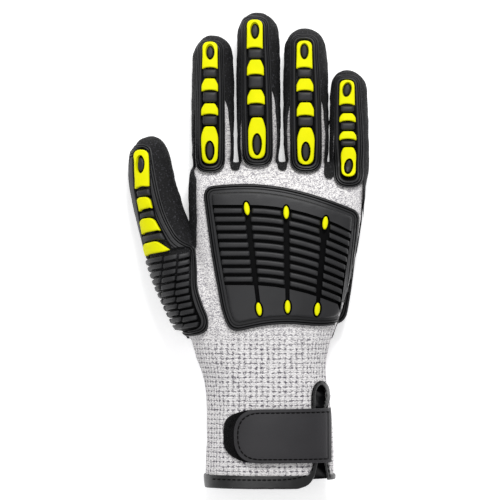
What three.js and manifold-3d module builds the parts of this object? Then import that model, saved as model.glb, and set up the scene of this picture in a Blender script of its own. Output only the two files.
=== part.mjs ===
// A right-hand impact glove lying palm down. Millimetres, +Z up, +Y towards the fingertips, the thumb at -X.
// The cuff's hem is at y = 0 and the surface that the glove lies on is z = 0, until the last lines.
import * as THREE from 'three';
import { mergeVertices } from 'three/addons/utils/BufferGeometryUtils.js';
import Module from 'manifold-3d';

const wasm = await Module();
wasm.setup();

// Cloth, coating and the clearance between pieces
const clearance = 0.3;
const bed_clearance = 0.4;
const knit_wall = 1.4;
const coat_wall = 0.9;
const binding_wall = 0.9;
const gusset_wall = 1.0;

// Hand and cuff
const hand_length = 180;
const cuff_half_width = 35.2;
const cuff_height = 38;
const cuff_lift = 2.6;
const palm_left_reach = 44.2;
const palm_right_reach = 53.2;
const palm_height = 33;
const web_reach = 5;

// Fingers: centre x, length past the crotch line, width, height, and the tip's lean to the left
const fingers = {
  index: { x: -31.9, length: 69.5, width: 21.0, height: 18.0, lean: 0.0 },
  middle: { x: -6.4, length: 82.8, width: 21.2, height: 18.5, lean: 0.4 },
  ring: { x: 20.0, length: 73.3, width: 21.5, height: 18.0, lean: 0.6 },
  little: { x: 44.3, length: 50.3, width: 18.0, height: 16.0, lean: 0.7 },
};
const finger_root = 20;

// Thumb: its root, how far its tip lies up and out from there, and its sizes
const thumb_root_x = -24.5;
const thumb_root_y = 66;
const thumb_up = 128.6;
const thumb_out = 42.5;
const thumb_width = 21.5;
const thumb_height = 21;

// Coating: how far up the side walls it reaches, and its heel above the hem
const coat_side_height = 11;
const coat_heel = 83;

// Guards: height of each step over the knit, and widths
const guard_rim = 2.5;
const guard_crown = 4.3;
const guard_step = 3.0;
const layer_lap = 0.7;
const guard_width = 18.6;
const guard_end_radius = 8.5;
const pocket_floor = 2.0;
const insert_rise = 0.25;
const insert_width = 8.4;
const insert_ear = 1.1;
const core_width = 2.6;

// Back plate
const plate_x = -12;
const plate_left_reach = 25.2;
const plate_right_reach = 61.6;
const plate_drop = 11.3;
const plate_top = hand_length - plate_drop;
const plate_length = 80.8;
const plate_arc_radius = 116;
const plate_border = 4.2;
const plate_rim = 2.2;
const plate_field = 2.8;
const plate_crown = 4.4;
const rib_count = 9;
const rib_pitch = 4.75;
const rib_width = 3.0;
const rib_start = 13.2;
const channel_width = 2.2;
const oval_width = 3.0;
const oval_length = 7.2;

// Thumb pad
const pad_groove_count = 11;
const pad_rib_pitch = 4.1;
const pad_rib_width = 2.5;
const pad_rib_tilt = 14;
const pad_floor = 2.8;

// Thumb guard outline
const thumb_guard_side = 5;
const thumb_guard_drop = 2.7;
const thumb_guard_tip_x = thumb_root_x - thumb_out - thumb_guard_side;
const thumb_guard_tip_y = thumb_root_y + thumb_up - thumb_guard_drop;
const thumb_guard_length = 107.6;
const thumb_guard_reach = 38.2;
const thumb_guard_hang = 7;

// Cuff binding, slit, strap and pad
const hem_band = 7.6;
const slit_band = 3.2;
const slit_x = 29.3;
const slit_length = 58.5;
const slit_mouth = 7.2;
const slit_waist = 3.0;
const slit_loop = 6.2;
const gusset_lap = 3.0;
const hem_corner = 13;
const strap_left = -19.8;
const strap_right = 33.2;
const strap_y = 29.3;
const strap_width = 29.8;
const strap_wall = 1.6;
const strap_end_radius = 10;
const patch_left = -24.4;
const patch_right = 8;
const patch_width = 27.6;
const patch_wall = 0.9;

// Levels: heights over the knit's outer face
const coat_low = clearance;
const coat_top = coat_low + coat_wall;
const binding_top = clearance + binding_wall;
const strap_low = Math.max(binding_top, clearance + patch_wall) + clearance;
const strap_top = strap_low + strap_wall;

// Sections of the hand, from the hem to the webs between the fingers. Along is a share of hand_length.
// Left and right run from the cuff's half width at 0 to the palm's reach at 1, and top from cuff to palm.
const hand_sections = [
  { along: 0.0, left: 0.06, right: 0.04, top: 0.0, lift: 1.0, square: 2.2 },
  { along: 0.2, left: -0.03, right: -0.03, top: 0.0, lift: 1.0, square: 2.2 },
  { along: 0.36, left: 0.3, right: -0.23, top: 0.25, lift: 0.6, square: 2.2 },
  { along: 0.45, left: 0.6, right: -0.16, top: 0.45, lift: 0.0, square: 2.3 },
  { along: 0.54, left: 0.5, right: 0.3, top: 0.65, lift: 0.0, square: 2.4 },
  { along: 0.7, left: 0.85, right: 0.7, top: 0.95, lift: 0.0, square: 2.5 },
  { along: 0.85, left: 1.0, right: 0.9, top: 1.4, lift: 0.0, square: 2.6 },
  { along: 0.94, left: 1.0, right: 1.0, top: 2.0, lift: 0.0, square: 2.6 },
  { along: 1.0, left: 0.96, right: 0.97, top: 3.1, lift: 0.3, square: 2.4 },
];

// Sections of a finger, from the crotch line to the tip. Along is a share of its length.
// Push is how much of a face's level moves the section along the finger.
const finger_sections = [
  { along: 0.0, width: 1.0, height: 1.1, push: 0.0 },
  { along: 0.72, width: 0.99, height: 0.96, push: 0.2 },
  { along: 0.89, width: 0.91, height: 0.84, push: 0.5 },
  { along: 0.965, width: 0.7, height: 0.66, push: 0.9 },
  { along: 0.995, width: 0.4, height: 0.42, push: 1.0 },
];

// Sections of the thumb, from its root in the hand. Up and out are shares of thumb_up and thumb_out.
const thumb_sections = [
  { up: 0.06, out: -0.06, width: 1.0, height: 1.2, push: -1.0 },
  { up: 0.2, out: 0.2, width: 1.45, height: 1.45, push: 0.0 },
  { up: 0.32, out: 0.41, width: 1.42, height: 1.42, push: 0.0 },
  { up: 0.48, out: 0.635, width: 1.29, height: 1.27, push: 0.0 },
  { up: 0.68, out: 0.83, width: 1.11, height: 1.08, push: 0.0 },
  { up: 0.885, out: 0.965, width: 0.92, height: 0.92, push: 0.4 },
  { up: 0.96, out: 0.99, width: 0.7, height: 0.74, push: 0.8 },
  { up: 0.994, out: 1.0, width: 0.38, height: 0.44, push: 1.0 },
];

// Inserts of each finger guard: where each starts and ends as shares of the guard's length from its tip
const insert_rows = {
  index: { tip: [0.034, 0.224], upper: [0.312, 0.4], lower: [0.495, 0.576], base: [0.663, 0.934] },
  middle: { tip: [0.045, 0.225], upper: [0.309, 0.405], lower: [0.502, 0.592], base: [0.682, 0.946] },
  ring: { tip: [0.072, 0.26], upper: [0.344, 0.428], lower: [0.511, 0.602], base: [0.686, 0.943] },
  little: { tip: [0.073, 0.279], upper: [0.365, 0.433], lower: [0.519, 0.588], base: [0.656, 0.906] },
};

// Each guard in shares of guard_width: past the fingertip, below the crotch line, to the side, and its width
const guards = {
  index: { tip: 0.081, base: -0.21, shift_tip: -0.065, shift_base: -0.07, width: 1.0 },
  middle: { tip: 0.086, base: -0.043, shift_tip: -0.086, shift_base: -0.011, width: 1.02 },
  ring: { tip: 0.07, base: -0.21, shift_tip: -0.011, shift_base: 0.022, width: 1.04 },
  little: { tip: 0.075, base: -0.656, shift_tip: -0.032, shift_base: 0.0, width: 0.95 },
};

// Solids from closed meshes
function solid(geometry) {
  const bare = new THREE.BufferGeometry();
  bare.setAttribute('position', geometry.getAttribute('position').clone());
  if (geometry.index) {
    bare.setIndex(geometry.index.clone());
  }
  const merged = mergeVertices(bare, 1e-4);
  return new wasm.Manifold(new wasm.Mesh({
    numProp: 3,
    vertProperties: new Float32Array(merged.getAttribute('position').array),
    triVerts: new Uint32Array(merged.index.array),
  }));
}

function largest(body) {
  const pieces = body.decompose();
  return pieces.reduce((best, piece) => (piece.volume() > best.volume() ? piece : best));
}

function joined(bodies) {
  return bodies.reduce((sum, body) => sum.add(body));
}

function mix(from, to, share) {
  return from + (to - from) * share;
}

// A tube through section rows, each with a centre, a heading in plan, its reaches, bottom and top
function tube(rows, level, sides) {
  const positions = [];
  const indices = [];
  for (const row of rows) {
    const mid = row.bottom + 0.45 * (row.top - row.bottom);
    const power = 2 / row.square;
    for (let k = 0; k < sides; k += 1) {
      const turn = (2 * Math.PI * (k + 0.5)) / sides;
      const across = Math.cos(turn);
      const rise = Math.sin(turn);
      const reach = (across > 0 ? row.right : row.left) + level;
      const side = Math.sign(across) * reach * Math.abs(across) ** power;
      const depth = rise > 0 ? row.top + level - mid : 1.3 * (mid - row.bottom + level);
      const height = mid + Math.sign(rise) * depth * Math.abs(rise) ** power;
      positions.push(
        row.x + row.push * level * row.heading_x + side * row.heading_y,
        row.y + row.push * level * row.heading_y - side * row.heading_x,
        Math.max(height, row.bottom - level),
      );
    }
  }
  const last = rows.length - 1;
  for (let r = 0; r < last; r += 1) {
    for (let k = 0; k < sides; k += 1) {
      const a = r * sides + k;
      const b = r * sides + ((k + 1) % sides);
      indices.push(a, b + sides, b, a, a + sides, b + sides);
    }
  }
  for (let k = 1; k < sides - 1; k += 1) {
    indices.push(0, k, k + 1);
    indices.push(last * sides, last * sides + k + 1, last * sides + k);
  }
  const geometry = new THREE.BufferGeometry();
  geometry.setAttribute('position', new THREE.Float32BufferAttribute(positions, 3));
  geometry.setIndex(indices);
  return solid(geometry);
}

// The knit's underside is lifted off the surface by the coating, and each tube has its own number of sides
const coat_lift = coat_top;
const finger_sides = 8;
const hand_sides = 16;
const thumb_sides = 10;

function handRows(open_end) {
  const rows = hand_sections.map((row) => ({
    x: 0,
    y: row.along * hand_length,
    heading_x: 0,
    heading_y: 1,
    left: mix(cuff_half_width, palm_left_reach, row.left),
    right: mix(cuff_half_width, palm_right_reach, row.right),
    bottom: mix(coat_lift, cuff_lift, row.lift),
    top: mix(cuff_lift + cuff_height, coat_lift + palm_height, row.top),
    square: row.square,
    push: 0,
  }));
  const web = { ...rows[rows.length - 1] };
  const height = web.top - web.bottom;
  rows.push({
    ...web,
    y: hand_length + web_reach,
    left: web.left - 2,
    right: web.right - 2,
    bottom: web.bottom + 0.3 * height,
    top: web.top - 0.35 * height,
    push: 1,
  });
  if (open_end) {
    rows.unshift({ ...rows[0], y: -past });
  }
  return rows;
}

function fingerRows(finger) {
  const row = (y, width, height, x, push) => ({
    x,
    y,
    heading_x: 0,
    heading_y: 1,
    left: (width * finger.width) / 2,
    right: (width * finger.width) / 2,
    bottom: coat_lift + 0.4 * (1 - width) * finger.height,
    top: coat_lift + 0.4 * (1 - width) * finger.height + height * finger.height,
    square: 2.3,
    push,
  });
  const rows = finger_sections.map((section) =>
    row(
      hand_length + section.along * finger.length,
      section.width,
      section.height,
      finger.x - finger.lean * section.along,
      section.push,
    ),
  );
  rows.unshift(row(hand_length - finger_root, 0.9, 1.12, finger.x, -1));
  return rows;
}

function thumbRows() {
  const points = thumb_sections.map((row) => ({
    x: thumb_root_x - row.out * thumb_out,
    y: thumb_root_y + row.up * thumb_up,
  }));
  return thumb_sections.map((row, i) => {
    const before = points[Math.max(i - 1, 0)];
    const after = points[Math.min(i + 1, points.length - 1)];
    const length = Math.hypot(after.x - before.x, after.y - before.y);
    const raised = 0.35 * Math.max(0, 0.9 - row.width) * thumb_height;
    return {
      x: points[i].x,
      y: points[i].y,
      heading_x: (after.x - before.x) / length,
      heading_y: (after.y - before.y) / length,
      left: (row.width * thumb_width) / 2,
      right: (row.width * thumb_width) / 2,
      bottom: coat_lift + raised,
      top: coat_lift + raised + row.height * thumb_height,
      square: 2.2,
      push: row.push,
    };
  });
}

// The whole hand with its faces moved out by a level. Inside levels run out past the hem.
const hand_cache = new Map();

function hand(level) {
  if (!hand_cache.has(level)) {
    const bodies = Object.values(fingers).map((finger) => tube(fingerRows(finger), level, finger_sides));
    bodies.push(tube(handRows(level < 0), level, hand_sides));
    bodies.push(tube(thumbRows(), level, thumb_sides));
    hand_cache.set(level, joined(bodies));
  }
  return hand_cache.get(level);
}

// Plan outlines: points with a corner radius each
function plan(points) {
  const shape = new THREE.Shape();
  const count = points.length;
  points.forEach((point, i) => {
    const before = points[(i + count - 1) % count];
    const after = points[(i + 1) % count];
    const corner = new THREE.Vector2(point.x, point.y);
    const back = new THREE.Vector2(before.x, before.y).sub(corner);
    const on = new THREE.Vector2(after.x, after.y).sub(corner);
    const radius = Math.min(point.r ?? 0, back.length() * 0.49, on.length() * 0.49);
    const start = corner.clone().addScaledVector(back.normalize(), radius);
    const end = corner.clone().addScaledVector(on.normalize(), radius);
    if (i === 0) {
      shape.moveTo(start.x, start.y);
    } else {
      shape.lineTo(start.x, start.y);
    }
    if (radius > 0) {
      shape.quadraticCurveTo(corner.x, corner.y, end.x, end.y);
    }
  });
  shape.closePath();
  return shape;
}

// Cutting bodies reach from under the hand to well over it, and past its ends
const sky = 80;
const under = 10;
const past = 20;
const oval_steps = 3;

function prism(shape, low = -under, segments = 2) {
  const geometry = new THREE.ExtrudeGeometry(shape, {
    depth: sky - low,
    bevelEnabled: false,
    curveSegments: segments,
  });
  geometry.translate(0, 0, low);
  return solid(geometry);
}

// A block across the whole hand, from y0 to y1 and up to a height
function band(y0, y1, top = sky) {
  const half_width = palm_right_reach + thumb_out;
  const geometry = new THREE.BoxGeometry(2 * half_width, y1 - y0, top + under);
  geometry.translate(0, (y0 + y1) / 2, (top - under) / 2);
  return solid(geometry);
}

function draped(shape, low_level, high_level, low = -under, segments = 2) {
  return hand(high_level).intersect(prism(shape, low, segments)).subtract(hand(low_level));
}

const materials = {
  knit: { color: 0xd6d4d6, roughness: 0.95, metalness: 0 },
  coating: { color: 0x202022, roughness: 0.85, metalness: 0 },
  rubber: { color: 0x3e3e41, roughness: 0.6, metalness: 0 },
  yellow: { color: 0xf4f800, roughness: 0.5, metalness: 0 },
  leather: { color: 0x39383b, roughness: 0.7, metalness: 0 },
  fabric: { color: 0x18181a, roughness: 0.5, metalness: 0 },
};

const group = new THREE.Group();

function add(name, body, material) {
  const whole = largest(body);
  const mesh_data = whole.getMesh();
  const geometry = new THREE.BufferGeometry();
  const corners = new Float32Array(mesh_data.vertProperties);
  geometry.setAttribute('position', new THREE.BufferAttribute(corners, 3));
  geometry.setIndex(new THREE.BufferAttribute(new Uint32Array(mesh_data.triVerts), 1));
  geometry.computeVertexNormals();
  const mesh = new THREE.Mesh(geometry, new THREE.MeshStandardMaterial(materials[material]));
  mesh.name = name;
  group.add(mesh);
  return whole;
}

// Slit in the cuff: wide at its mouth, drawn in by the strap, and a rounded loop at its top
function slitOutline(grow) {
  const waist_y = strap_y - 0.4 * strap_width;
  const mouth_left = slit_x - slit_mouth / 2 - grow;
  const mouth_right = slit_x + slit_mouth / 2 + grow;
  return plan([
    { x: mouth_left - hem_corner, y: -under },
    { x: mouth_right, y: -under },
    { x: mouth_right, y: 0.3 * hem_corner },
    { x: slit_x + slit_waist / 2 + grow, y: waist_y },
    { x: slit_x + slit_loop / 2 + grow, y: mix(waist_y, slit_length, 0.6) },
    { x: slit_x + slit_loop / 2 + grow, y: slit_length + grow, r: slit_loop / 2 + grow },
    { x: slit_x - slit_loop / 2 - grow, y: slit_length + grow, r: slit_loop / 2 + grow },
    { x: slit_x - slit_loop / 2 - grow, y: mix(waist_y, slit_length, 0.6) },
    { x: slit_x - slit_waist / 2 - grow, y: waist_y },
    { x: mouth_left, y: 0.75 * hem_corner + grow },
    { x: mouth_left - 0.35 * hem_corner, y: 0.2 * hem_corner + grow },
    { x: mouth_left - hem_corner, y: grow - hem_slack },
  ]);
}

const slit_floor = 0.5 * cuff_height + cuff_lift;
const edge_room = clearance + binding_wall;
const hem_slack = 1;

// Knit glove
function knitShell() {
  const below_hem = band(-2 * past, edge_room);
  return hand(0)
    .subtract(hand(-knit_wall))
    .subtract(below_hem)
    .subtract(prism(slitOutline(edge_room), slit_floor));
}

// Coating on the palm side, the fingertips, the finger sides and the thumb
const coat_room = 6;
const thumb_coat_start = 0.36;

function coatRegion() {
  const regions = [band(coat_heel, hand_length + past / 2, coat_side_height)];
  for (const finger of Object.values(fingers)) {
    const half = finger.width / 2 + coat_room;
    const tip = hand_length + finger.length + past;
    const start = hand_length - finger_root;
    const wedge = new THREE.Shape();
    wedge.moveTo(start, -under);
    wedge.lineTo(tip, -under);
    wedge.lineTo(tip, coat_lift + 1.6 * finger.height);
    wedge.lineTo(hand_length + 0.45 * finger.length, coat_lift + 0.86 * finger.height);
    wedge.lineTo(start, coat_side_height);
    const geometry = new THREE.ExtrudeGeometry(wedge, { depth: 2 * half, bevelEnabled: false });
    geometry.rotateX(Math.PI / 2);
    geometry.rotateZ(Math.PI / 2);
    geometry.translate(finger.x - half, 0, 0);
    regions.push(solid(geometry));
  }
  const web_x = 2 - palm_left_reach;
  const far_x = thumb_root_x - thumb_out - thumb_width - past;
  const thumb_coat_y = thumb_root_y + thumb_coat_start * thumb_up;
  regions.push(prism(plan([
    { x: web_x, y: thumb_coat_y },
    { x: web_x, y: thumb_root_y + thumb_up },
    { x: far_x, y: thumb_root_y + thumb_up + past },
    { x: far_x, y: thumb_coat_y },
  ])));
  return joined(regions);
}

function palmCoating() {
  const beds = Object.keys(fingers).map((name) => {
    const frame = guardFrame(name);
    return prism(guardOutline(frame, -bed_clearance), frame.low - clearance);
  });
  beds.push(prism(thumbGuardOutline(-bed_clearance), thumb_guard_hang - clearance));
  return hand(coat_top).subtract(hand(coat_low)).intersect(coatRegion()).subtract(joined(beds));
}

// A guard in two steps: a rim on the knit, and a crown that starts inside the rim
function steppedGuard(rim_shape, rim_level, crown_shape, crown_level, low) {
  const rim = draped(rim_shape, clearance, rim_level, low);
  return rim.add(draped(crown_shape, clearance + layer_lap, crown_level, low + 3));
}

// Finger guards
function guardFrame(name) {
  const finger = fingers[name];
  const guard = guards[name];
  return {
    top: hand_length + finger.length + guard.tip * guard_width + coat_top,
    bottom: hand_length + guard.base * guard_width,
    x_top: finger.x - finger.lean + guard.shift_tip * guard_width,
    x_bottom: finger.x + guard.shift_base * guard_width,
    half: (guard.width * guard_width) / 2,
    low: coat_lift + 0.42 * finger.height,
  };
}

function guardOutline(frame, inset) {
  const half = frame.half - inset;
  const round = guard_end_radius - 0.5 * inset;
  return plan([
    { x: frame.x_top - half, y: frame.top + 3 - inset, r: half },
    { x: frame.x_bottom - half, y: frame.bottom + inset, r: round },
    { x: frame.x_bottom + half, y: frame.bottom + inset, r: round },
    { x: frame.x_top + half, y: frame.top + 3 - inset, r: half },
  ]);
}

function insertSpan(frame, span) {
  const length = frame.top - frame.bottom;
  const start = frame.top - span[0] * length;
  const end = frame.top - span[1] * length;
  const middle = (span[0] + span[1]) / 2;
  return { start, end, x: mix(frame.x_top, frame.x_bottom, middle) };
}

function insertOutline(kind, place, width, grow) {
  const half = width / 2 + grow;
  const top = place.start + grow;
  const end = place.end - grow;
  const narrow = kind === 'base' ? 0.72 * half : half;
  const ear = kind === 'base' ? 0 : insert_ear;
  const foot_radius = kind === 'base' ? half : 0;
  const head_radius = { tip: half, upper: 2, lower: 2, base: 1.8 }[kind];
  const points = [
    { x: place.x - narrow, y: top, r: head_radius },
    { x: place.x - half, y: mix(top, end, 0.45) },
    { x: place.x - half, y: end - ear, r: foot_radius },
  ];
  if (ear > 0) {
    points.push({ x: place.x - half + 1.6, y: end }, { x: place.x + half - 1.6, y: end });
  }
  points.push(
    { x: place.x + half, y: end - ear, r: foot_radius },
    { x: place.x + half, y: mix(top, end, 0.45) },
    { x: place.x + narrow, y: top, r: head_radius },
  );
  return plan(points);
}

function ellipse(x, y, width, length, grow) {
  const shape = new THREE.Shape();
  shape.absellipse(x, y, width / 2 + grow, length / 2 + grow, 0, 2 * Math.PI);
  return shape;
}

function coreAt(kind, place, grow) {
  const length = place.start - place.end;
  const core_share = { tip: 0.5, base: 0.4 }[kind];
  const core_place = { tip: 0.5, base: 0.66 }[kind];
  return prism(
    ellipse(place.x, mix(place.start, place.end, core_place), core_width, core_share * length, grow),
    -under,
    oval_steps,
  );
}

function fingerGuard(name) {
  const frame = guardFrame(name);
  const width = guards[name].width * insert_width;
  const inserts = [];
  let body = steppedGuard(
    guardOutline(frame, 0),
    guard_rim,
    guardOutline(frame, guard_step),
    guard_crown,
    frame.low,
  );
  for (const [kind, span] of Object.entries(insert_rows[name])) {
    const place = insertSpan(frame, span);
    const bottom = hand(pocket_floor);
    let pocket = prism(insertOutline(kind, place, width, clearance)).subtract(bottom);
    let piece = draped(
      insertOutline(kind, place, width, 0),
      pocket_floor + clearance,
      guard_crown + insert_rise,
      frame.low + 4.5,
    );
    if (kind === 'tip' || kind === 'base') {
      piece = piece.subtract(coreAt(kind, place, 0));
      pocket = pocket.subtract(coreAt(kind, place, -clearance));
    }
    body = body.subtract(pocket);
    inserts.push([`${name}_insert_${kind}`, piece]);
  }
  add(`${name}_guard`, body, 'rubber');
  inserts.forEach(([insert_name, piece]) => add(insert_name, piece, 'yellow'));
}

// Back plate: arcs that droop to the right, shared by its top edge and its ribs
function arcY(x, top) {
  return top - (x - plate_x) ** 2 / (2 * plate_arc_radius);
}

// Channels of the plate: their ends' x as shares of its right reach, and how far down as shares of its length
const channels = [
  { name: 'left', top_x: -0.01, bottom_x: 0.099, top_down: 0.168, bottom_down: 0.856 },
  { name: 'middle', top_x: 0.344, bottom_x: 0.356, top_down: 0.194, bottom_down: 0.84 },
  { name: 'right', top_x: 0.695, bottom_x: 0.623, top_down: 0.266, bottom_down: 0.858 },
];

function channelX(share) {
  return plate_x + share * plate_right_reach;
}

// The plate's arcs bend only at its sides and in its channels
function arcStops(inset) {
  return [
    plate_x - plate_left_reach + inset,
    ...channels.map((channel) => channelX((channel.top_x + channel.bottom_x) / 2)),
    plate_x + plate_right_reach - inset,
  ];
}

function arcBand(top, bottom) {
  const stops = arcStops(-1);
  const upper = stops.map((x) => ({ x, y: arcY(x, top) }));
  const lower = stops.map((x) => ({ x, y: arcY(x, bottom) }));
  return plan([...upper, ...lower.reverse()].reverse());
}

function plateOutline(inset) {
  const top = plate_top - inset;
  const bottom = plate_top - plate_length + inset;
  const left = (share) => plate_x - share * plate_left_reach + inset;
  const right = (share) => plate_x + share * plate_right_reach - inset;
  const points = arcStops(inset).map((x) => ({ x, y: arcY(x, top) }));
  points[0].r = 4;
  points[points.length - 1].r = 4;
  points.push({ x: right(0.82), y: mix(top, bottom, 0.86) });
  points.push({ x: right(0.76), y: bottom + 0.03 * plate_length, r: 3 });
  points.push({ x: mix(left(0.3), right(0.7), 0.5), y: bottom + 0.04 * plate_length });
  points.push({ x: left(0.27), y: bottom, r: 3 });
  points.push({ x: left(0.5), y: mix(top, bottom, 0.88) });
  return plan(points.reverse());
}

function backPlate() {
  const low = coat_lift + 0.35 * palm_height;
  const body = steppedGuard(plateOutline(0), plate_rim, plateOutline(plate_border), plate_crown, low);
  const cuts = [];
  for (let i = 0; i <= rib_count; i += 1) {
    const bottom = plate_top - rib_start - i * rib_pitch;
    cuts.push(prism(arcBand(bottom + rib_pitch - rib_width, bottom), low));
  }
  const inserts = [];
  const pockets = [];
  for (const channel of channels) {
    const y_top = plate_top - channel.top_down * plate_length;
    const y_bottom = plate_top - channel.bottom_down * plate_length;
    const x_top = channelX(channel.top_x);
    const x_bottom = channelX(channel.bottom_x);
    cuts.push(prism(plan([
      { x: x_top - channel_width / 2, y: y_top },
      { x: x_bottom - channel_width / 2, y: y_bottom },
      { x: x_bottom + channel_width / 2, y: y_bottom },
      { x: x_top + channel_width / 2, y: y_top },
    ]), low));
    for (const [end, x, y] of [['upper', x_top, y_top], ['lower', x_bottom, y_bottom]]) {
      pockets.push(prism(ellipse(x, y, oval_width, oval_length, clearance), low, oval_steps));
      inserts.push([
        `plate_insert_${channel.name}_${end}`,
        draped(
          ellipse(x, y, oval_width, oval_length, 0),
          pocket_floor + clearance,
          plate_crown + insert_rise,
          low,
          oval_steps,
        ),
      ]);
    }
  }
  const grooves = joined(cuts).subtract(hand(plate_field));
  const seats = joined(pockets).subtract(hand(pocket_floor));
  add('back_plate', body.subtract(grooves).subtract(seats), 'rubber');
  inserts.forEach(([name, piece]) => add(name, piece, 'yellow'));
}

// Right-hand edge of the thumb guard. Down is a share of its length, and right of its reach from the tip.
const thumb_guard_edge = [
  { down: 0.0, right: 0.0, r: 3 },
  { down: 0.01, right: 0.15, r: 4 },
  { down: 0.147, right: 0.215, r: 0 },
  { down: 0.394, right: 0.394, r: 0 },
  { down: 0.49, right: 0.546, r: 0 },
  { down: 0.545, right: 0.8, r: 4 },
  { down: 0.755, right: 0.837, r: 10 },
  { down: 0.92, right: 1.02, r: 5 },
  { down: 1.0, right: 0.78, r: 5 },
  { down: 0.985, right: 0.63, r: 0 },
];

function thumbGuardPoints(inset) {
  return thumb_guard_edge.map((row) => ({
    x: thumb_guard_tip_x + row.right * thumb_guard_reach - inset,
    y: thumb_guard_tip_y - row.down * thumb_guard_length + (row.down > 0.9 ? inset : -inset),
    r: row.r,
  }));
}

function thumbGuardOutline(inset) {
  const points = thumbGuardPoints(inset);
  const end = points[points.length - 1];
  points.push({ x: end.x - 3 * past, y: end.y + past });
  points.push({ x: thumb_guard_tip_x - 1.5 * past, y: thumb_guard_tip_y - 3 * inset });
  return plan(points.reverse());
}

// Inserts of the thumb guard. Down and long are shares of its length, left and right of its reach.
const thumb_inserts = [
  { kind: 'tip', down: 0.028, long: 0.185, left: -0.09, right: 0.115, spread: 0.06 },
  { kind: 'upper', down: 0.276, long: 0.057, left: -0.045, right: 0.16, spread: 0.05 },
  { kind: 'lower', down: 0.388, long: 0.062, left: 0.005, right: 0.218, spread: 0.09 },
  { kind: 'base', down: 0.51, long: 0.056, left: 0.06, right: 0.255, spread: 0.175 },
];

function thumbInsertOutline(row, grow) {
  const top = thumb_guard_tip_y - row.down * thumb_guard_length + grow;
  const end = thumb_guard_tip_y - (row.down + row.long) * thumb_guard_length - grow;
  const left = thumb_guard_tip_x + row.left * thumb_guard_reach - grow;
  const right = thumb_guard_tip_x + row.right * thumb_guard_reach + grow;
  const slope = 0.009 * thumb_guard_length;
  const spread = row.spread * thumb_guard_reach;
  const drift = 0.04 * thumb_guard_reach;
  const head = row.kind === 'tip' ? 6 : 1.5;
  return plan([
    { x: left, y: top - slope, r: head },
    { x: left + drift, y: end - slope, r: 0 },
    { x: right + spread, y: end + slope, r: 0 },
    { x: right, y: top + slope * 0.5, r: head },
  ]);
}

function thumbGuard() {
  const low = thumb_guard_hang;
  const pad_top = thumb_guard_tip_y - 0.545 * thumb_guard_length;
  let body = steppedGuard(
    thumbGuardOutline(0),
    guard_rim,
    thumbGuardOutline(guard_step),
    guard_crown,
    low,
  );
  const tilt = Math.tan((pad_rib_tilt * Math.PI) / 180);
  const x0 = thumb_guard_tip_x - past;
  const x1 = thumb_guard_tip_x + 1.2 * thumb_guard_reach;
  const half_rise = (tilt * (x1 - x0)) / 2;
  const gap = pad_rib_pitch - pad_rib_width;
  const cuts = [];
  for (let i = 0; i < pad_groove_count; i += 1) {
    const y = pad_top - i * pad_rib_pitch;
    cuts.push(prism(plan([
      { x: x0, y: y - half_rise },
      { x: x0, y: y - half_rise - gap },
      { x: x1, y: y + half_rise - gap },
      { x: x1, y: y + half_rise },
    ]), low - 5));
  }
  body = body.subtract(joined(cuts).subtract(hand(pad_floor)));
  const inserts = [];
  for (const row of thumb_inserts) {
    let pocket = prism(thumbInsertOutline(row, clearance)).subtract(hand(pocket_floor));
    let piece = draped(
      thumbInsertOutline(row, 0),
      pocket_floor + clearance,
      guard_crown + insert_rise,
      low + 4,
    );
    if (row.kind === 'tip') {
      const x = thumb_guard_tip_x + 0.02 * thumb_guard_reach;
      const y = thumb_guard_tip_y - (row.down + 0.42 * row.long) * thumb_guard_length;
      const length = 0.5 * row.long * thumb_guard_length;
      piece = piece.subtract(prism(ellipse(x, y, core_width, length, 0), -under, oval_steps));
      pocket = pocket.subtract(prism(ellipse(x, y, core_width, length, -clearance), -under, oval_steps));
    }
    body = body.subtract(pocket);
    inserts.push([`thumb_insert_${row.kind}`, piece]);
  }
  add('thumb_guard', body, 'rubber');
  inserts.forEach(([name, piece]) => add(name, piece, 'yellow'));
}

// Black binding folded over the hem and over both edges of the slit
function cuffBinding() {
  const inner = -knit_wall - edge_room;
  const outer_skin = hand(binding_top);
  const inner_skin = hand(inner);
  const wall = outer_skin.subtract(inner_skin);
  const knit_room = hand(clearance)
    .subtract(hand(-knit_wall - clearance))
    .subtract(band(-2 * past, binding_wall))
    .subtract(prism(slitOutline(binding_wall), slit_floor));
  const hem = wall.intersect(band(-hem_slack, hem_band));
  const edges = wall
    .intersect(prism(slitOutline(slit_band), slit_floor + clearance))
    .intersect(band(-hem_slack, slit_length + past));
  return hem.add(edges).subtract(prism(slitOutline(0), slit_floor)).subtract(knit_room);
}

// Thin black fabric behind the slit
function slitGusset() {
  const outer = -knit_wall - edge_room - clearance;
  const shape = plan([
    { x: slit_x - slit_loop / 2 - gusset_lap, y: hem_band * 0.8 },
    { x: slit_x + slit_loop / 2 + gusset_lap, y: hem_band * 0.8 },
    { x: slit_x + slit_loop / 2 + gusset_lap, y: slit_length + gusset_lap, r: 4 },
    { x: slit_x - slit_loop / 2 - gusset_lap, y: slit_length + gusset_lap, r: 4 },
  ]);
  return draped(shape, outer - gusset_wall, outer, slit_floor);
}

function wristStrap() {
  const half = strap_width / 2;
  const shape = plan([
    { x: strap_left, y: strap_y + half, r: strap_end_radius },
    { x: strap_left, y: strap_y - half, r: strap_end_radius },
    { x: strap_right, y: strap_y - half },
    { x: strap_right, y: strap_y + half },
  ]);
  return draped(shape, strap_low, strap_top, slit_floor, 5);
}

function loopPatch() {
  const half = patch_width / 2;
  const shape = plan([
    { x: patch_left, y: strap_y + half, r: 2 },
    { x: patch_left, y: strap_y - half, r: 2 },
    { x: patch_right, y: strap_y - half },
    { x: patch_right, y: strap_y + half },
  ]);
  return draped(shape, clearance, clearance + patch_wall, slit_floor);
}

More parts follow.
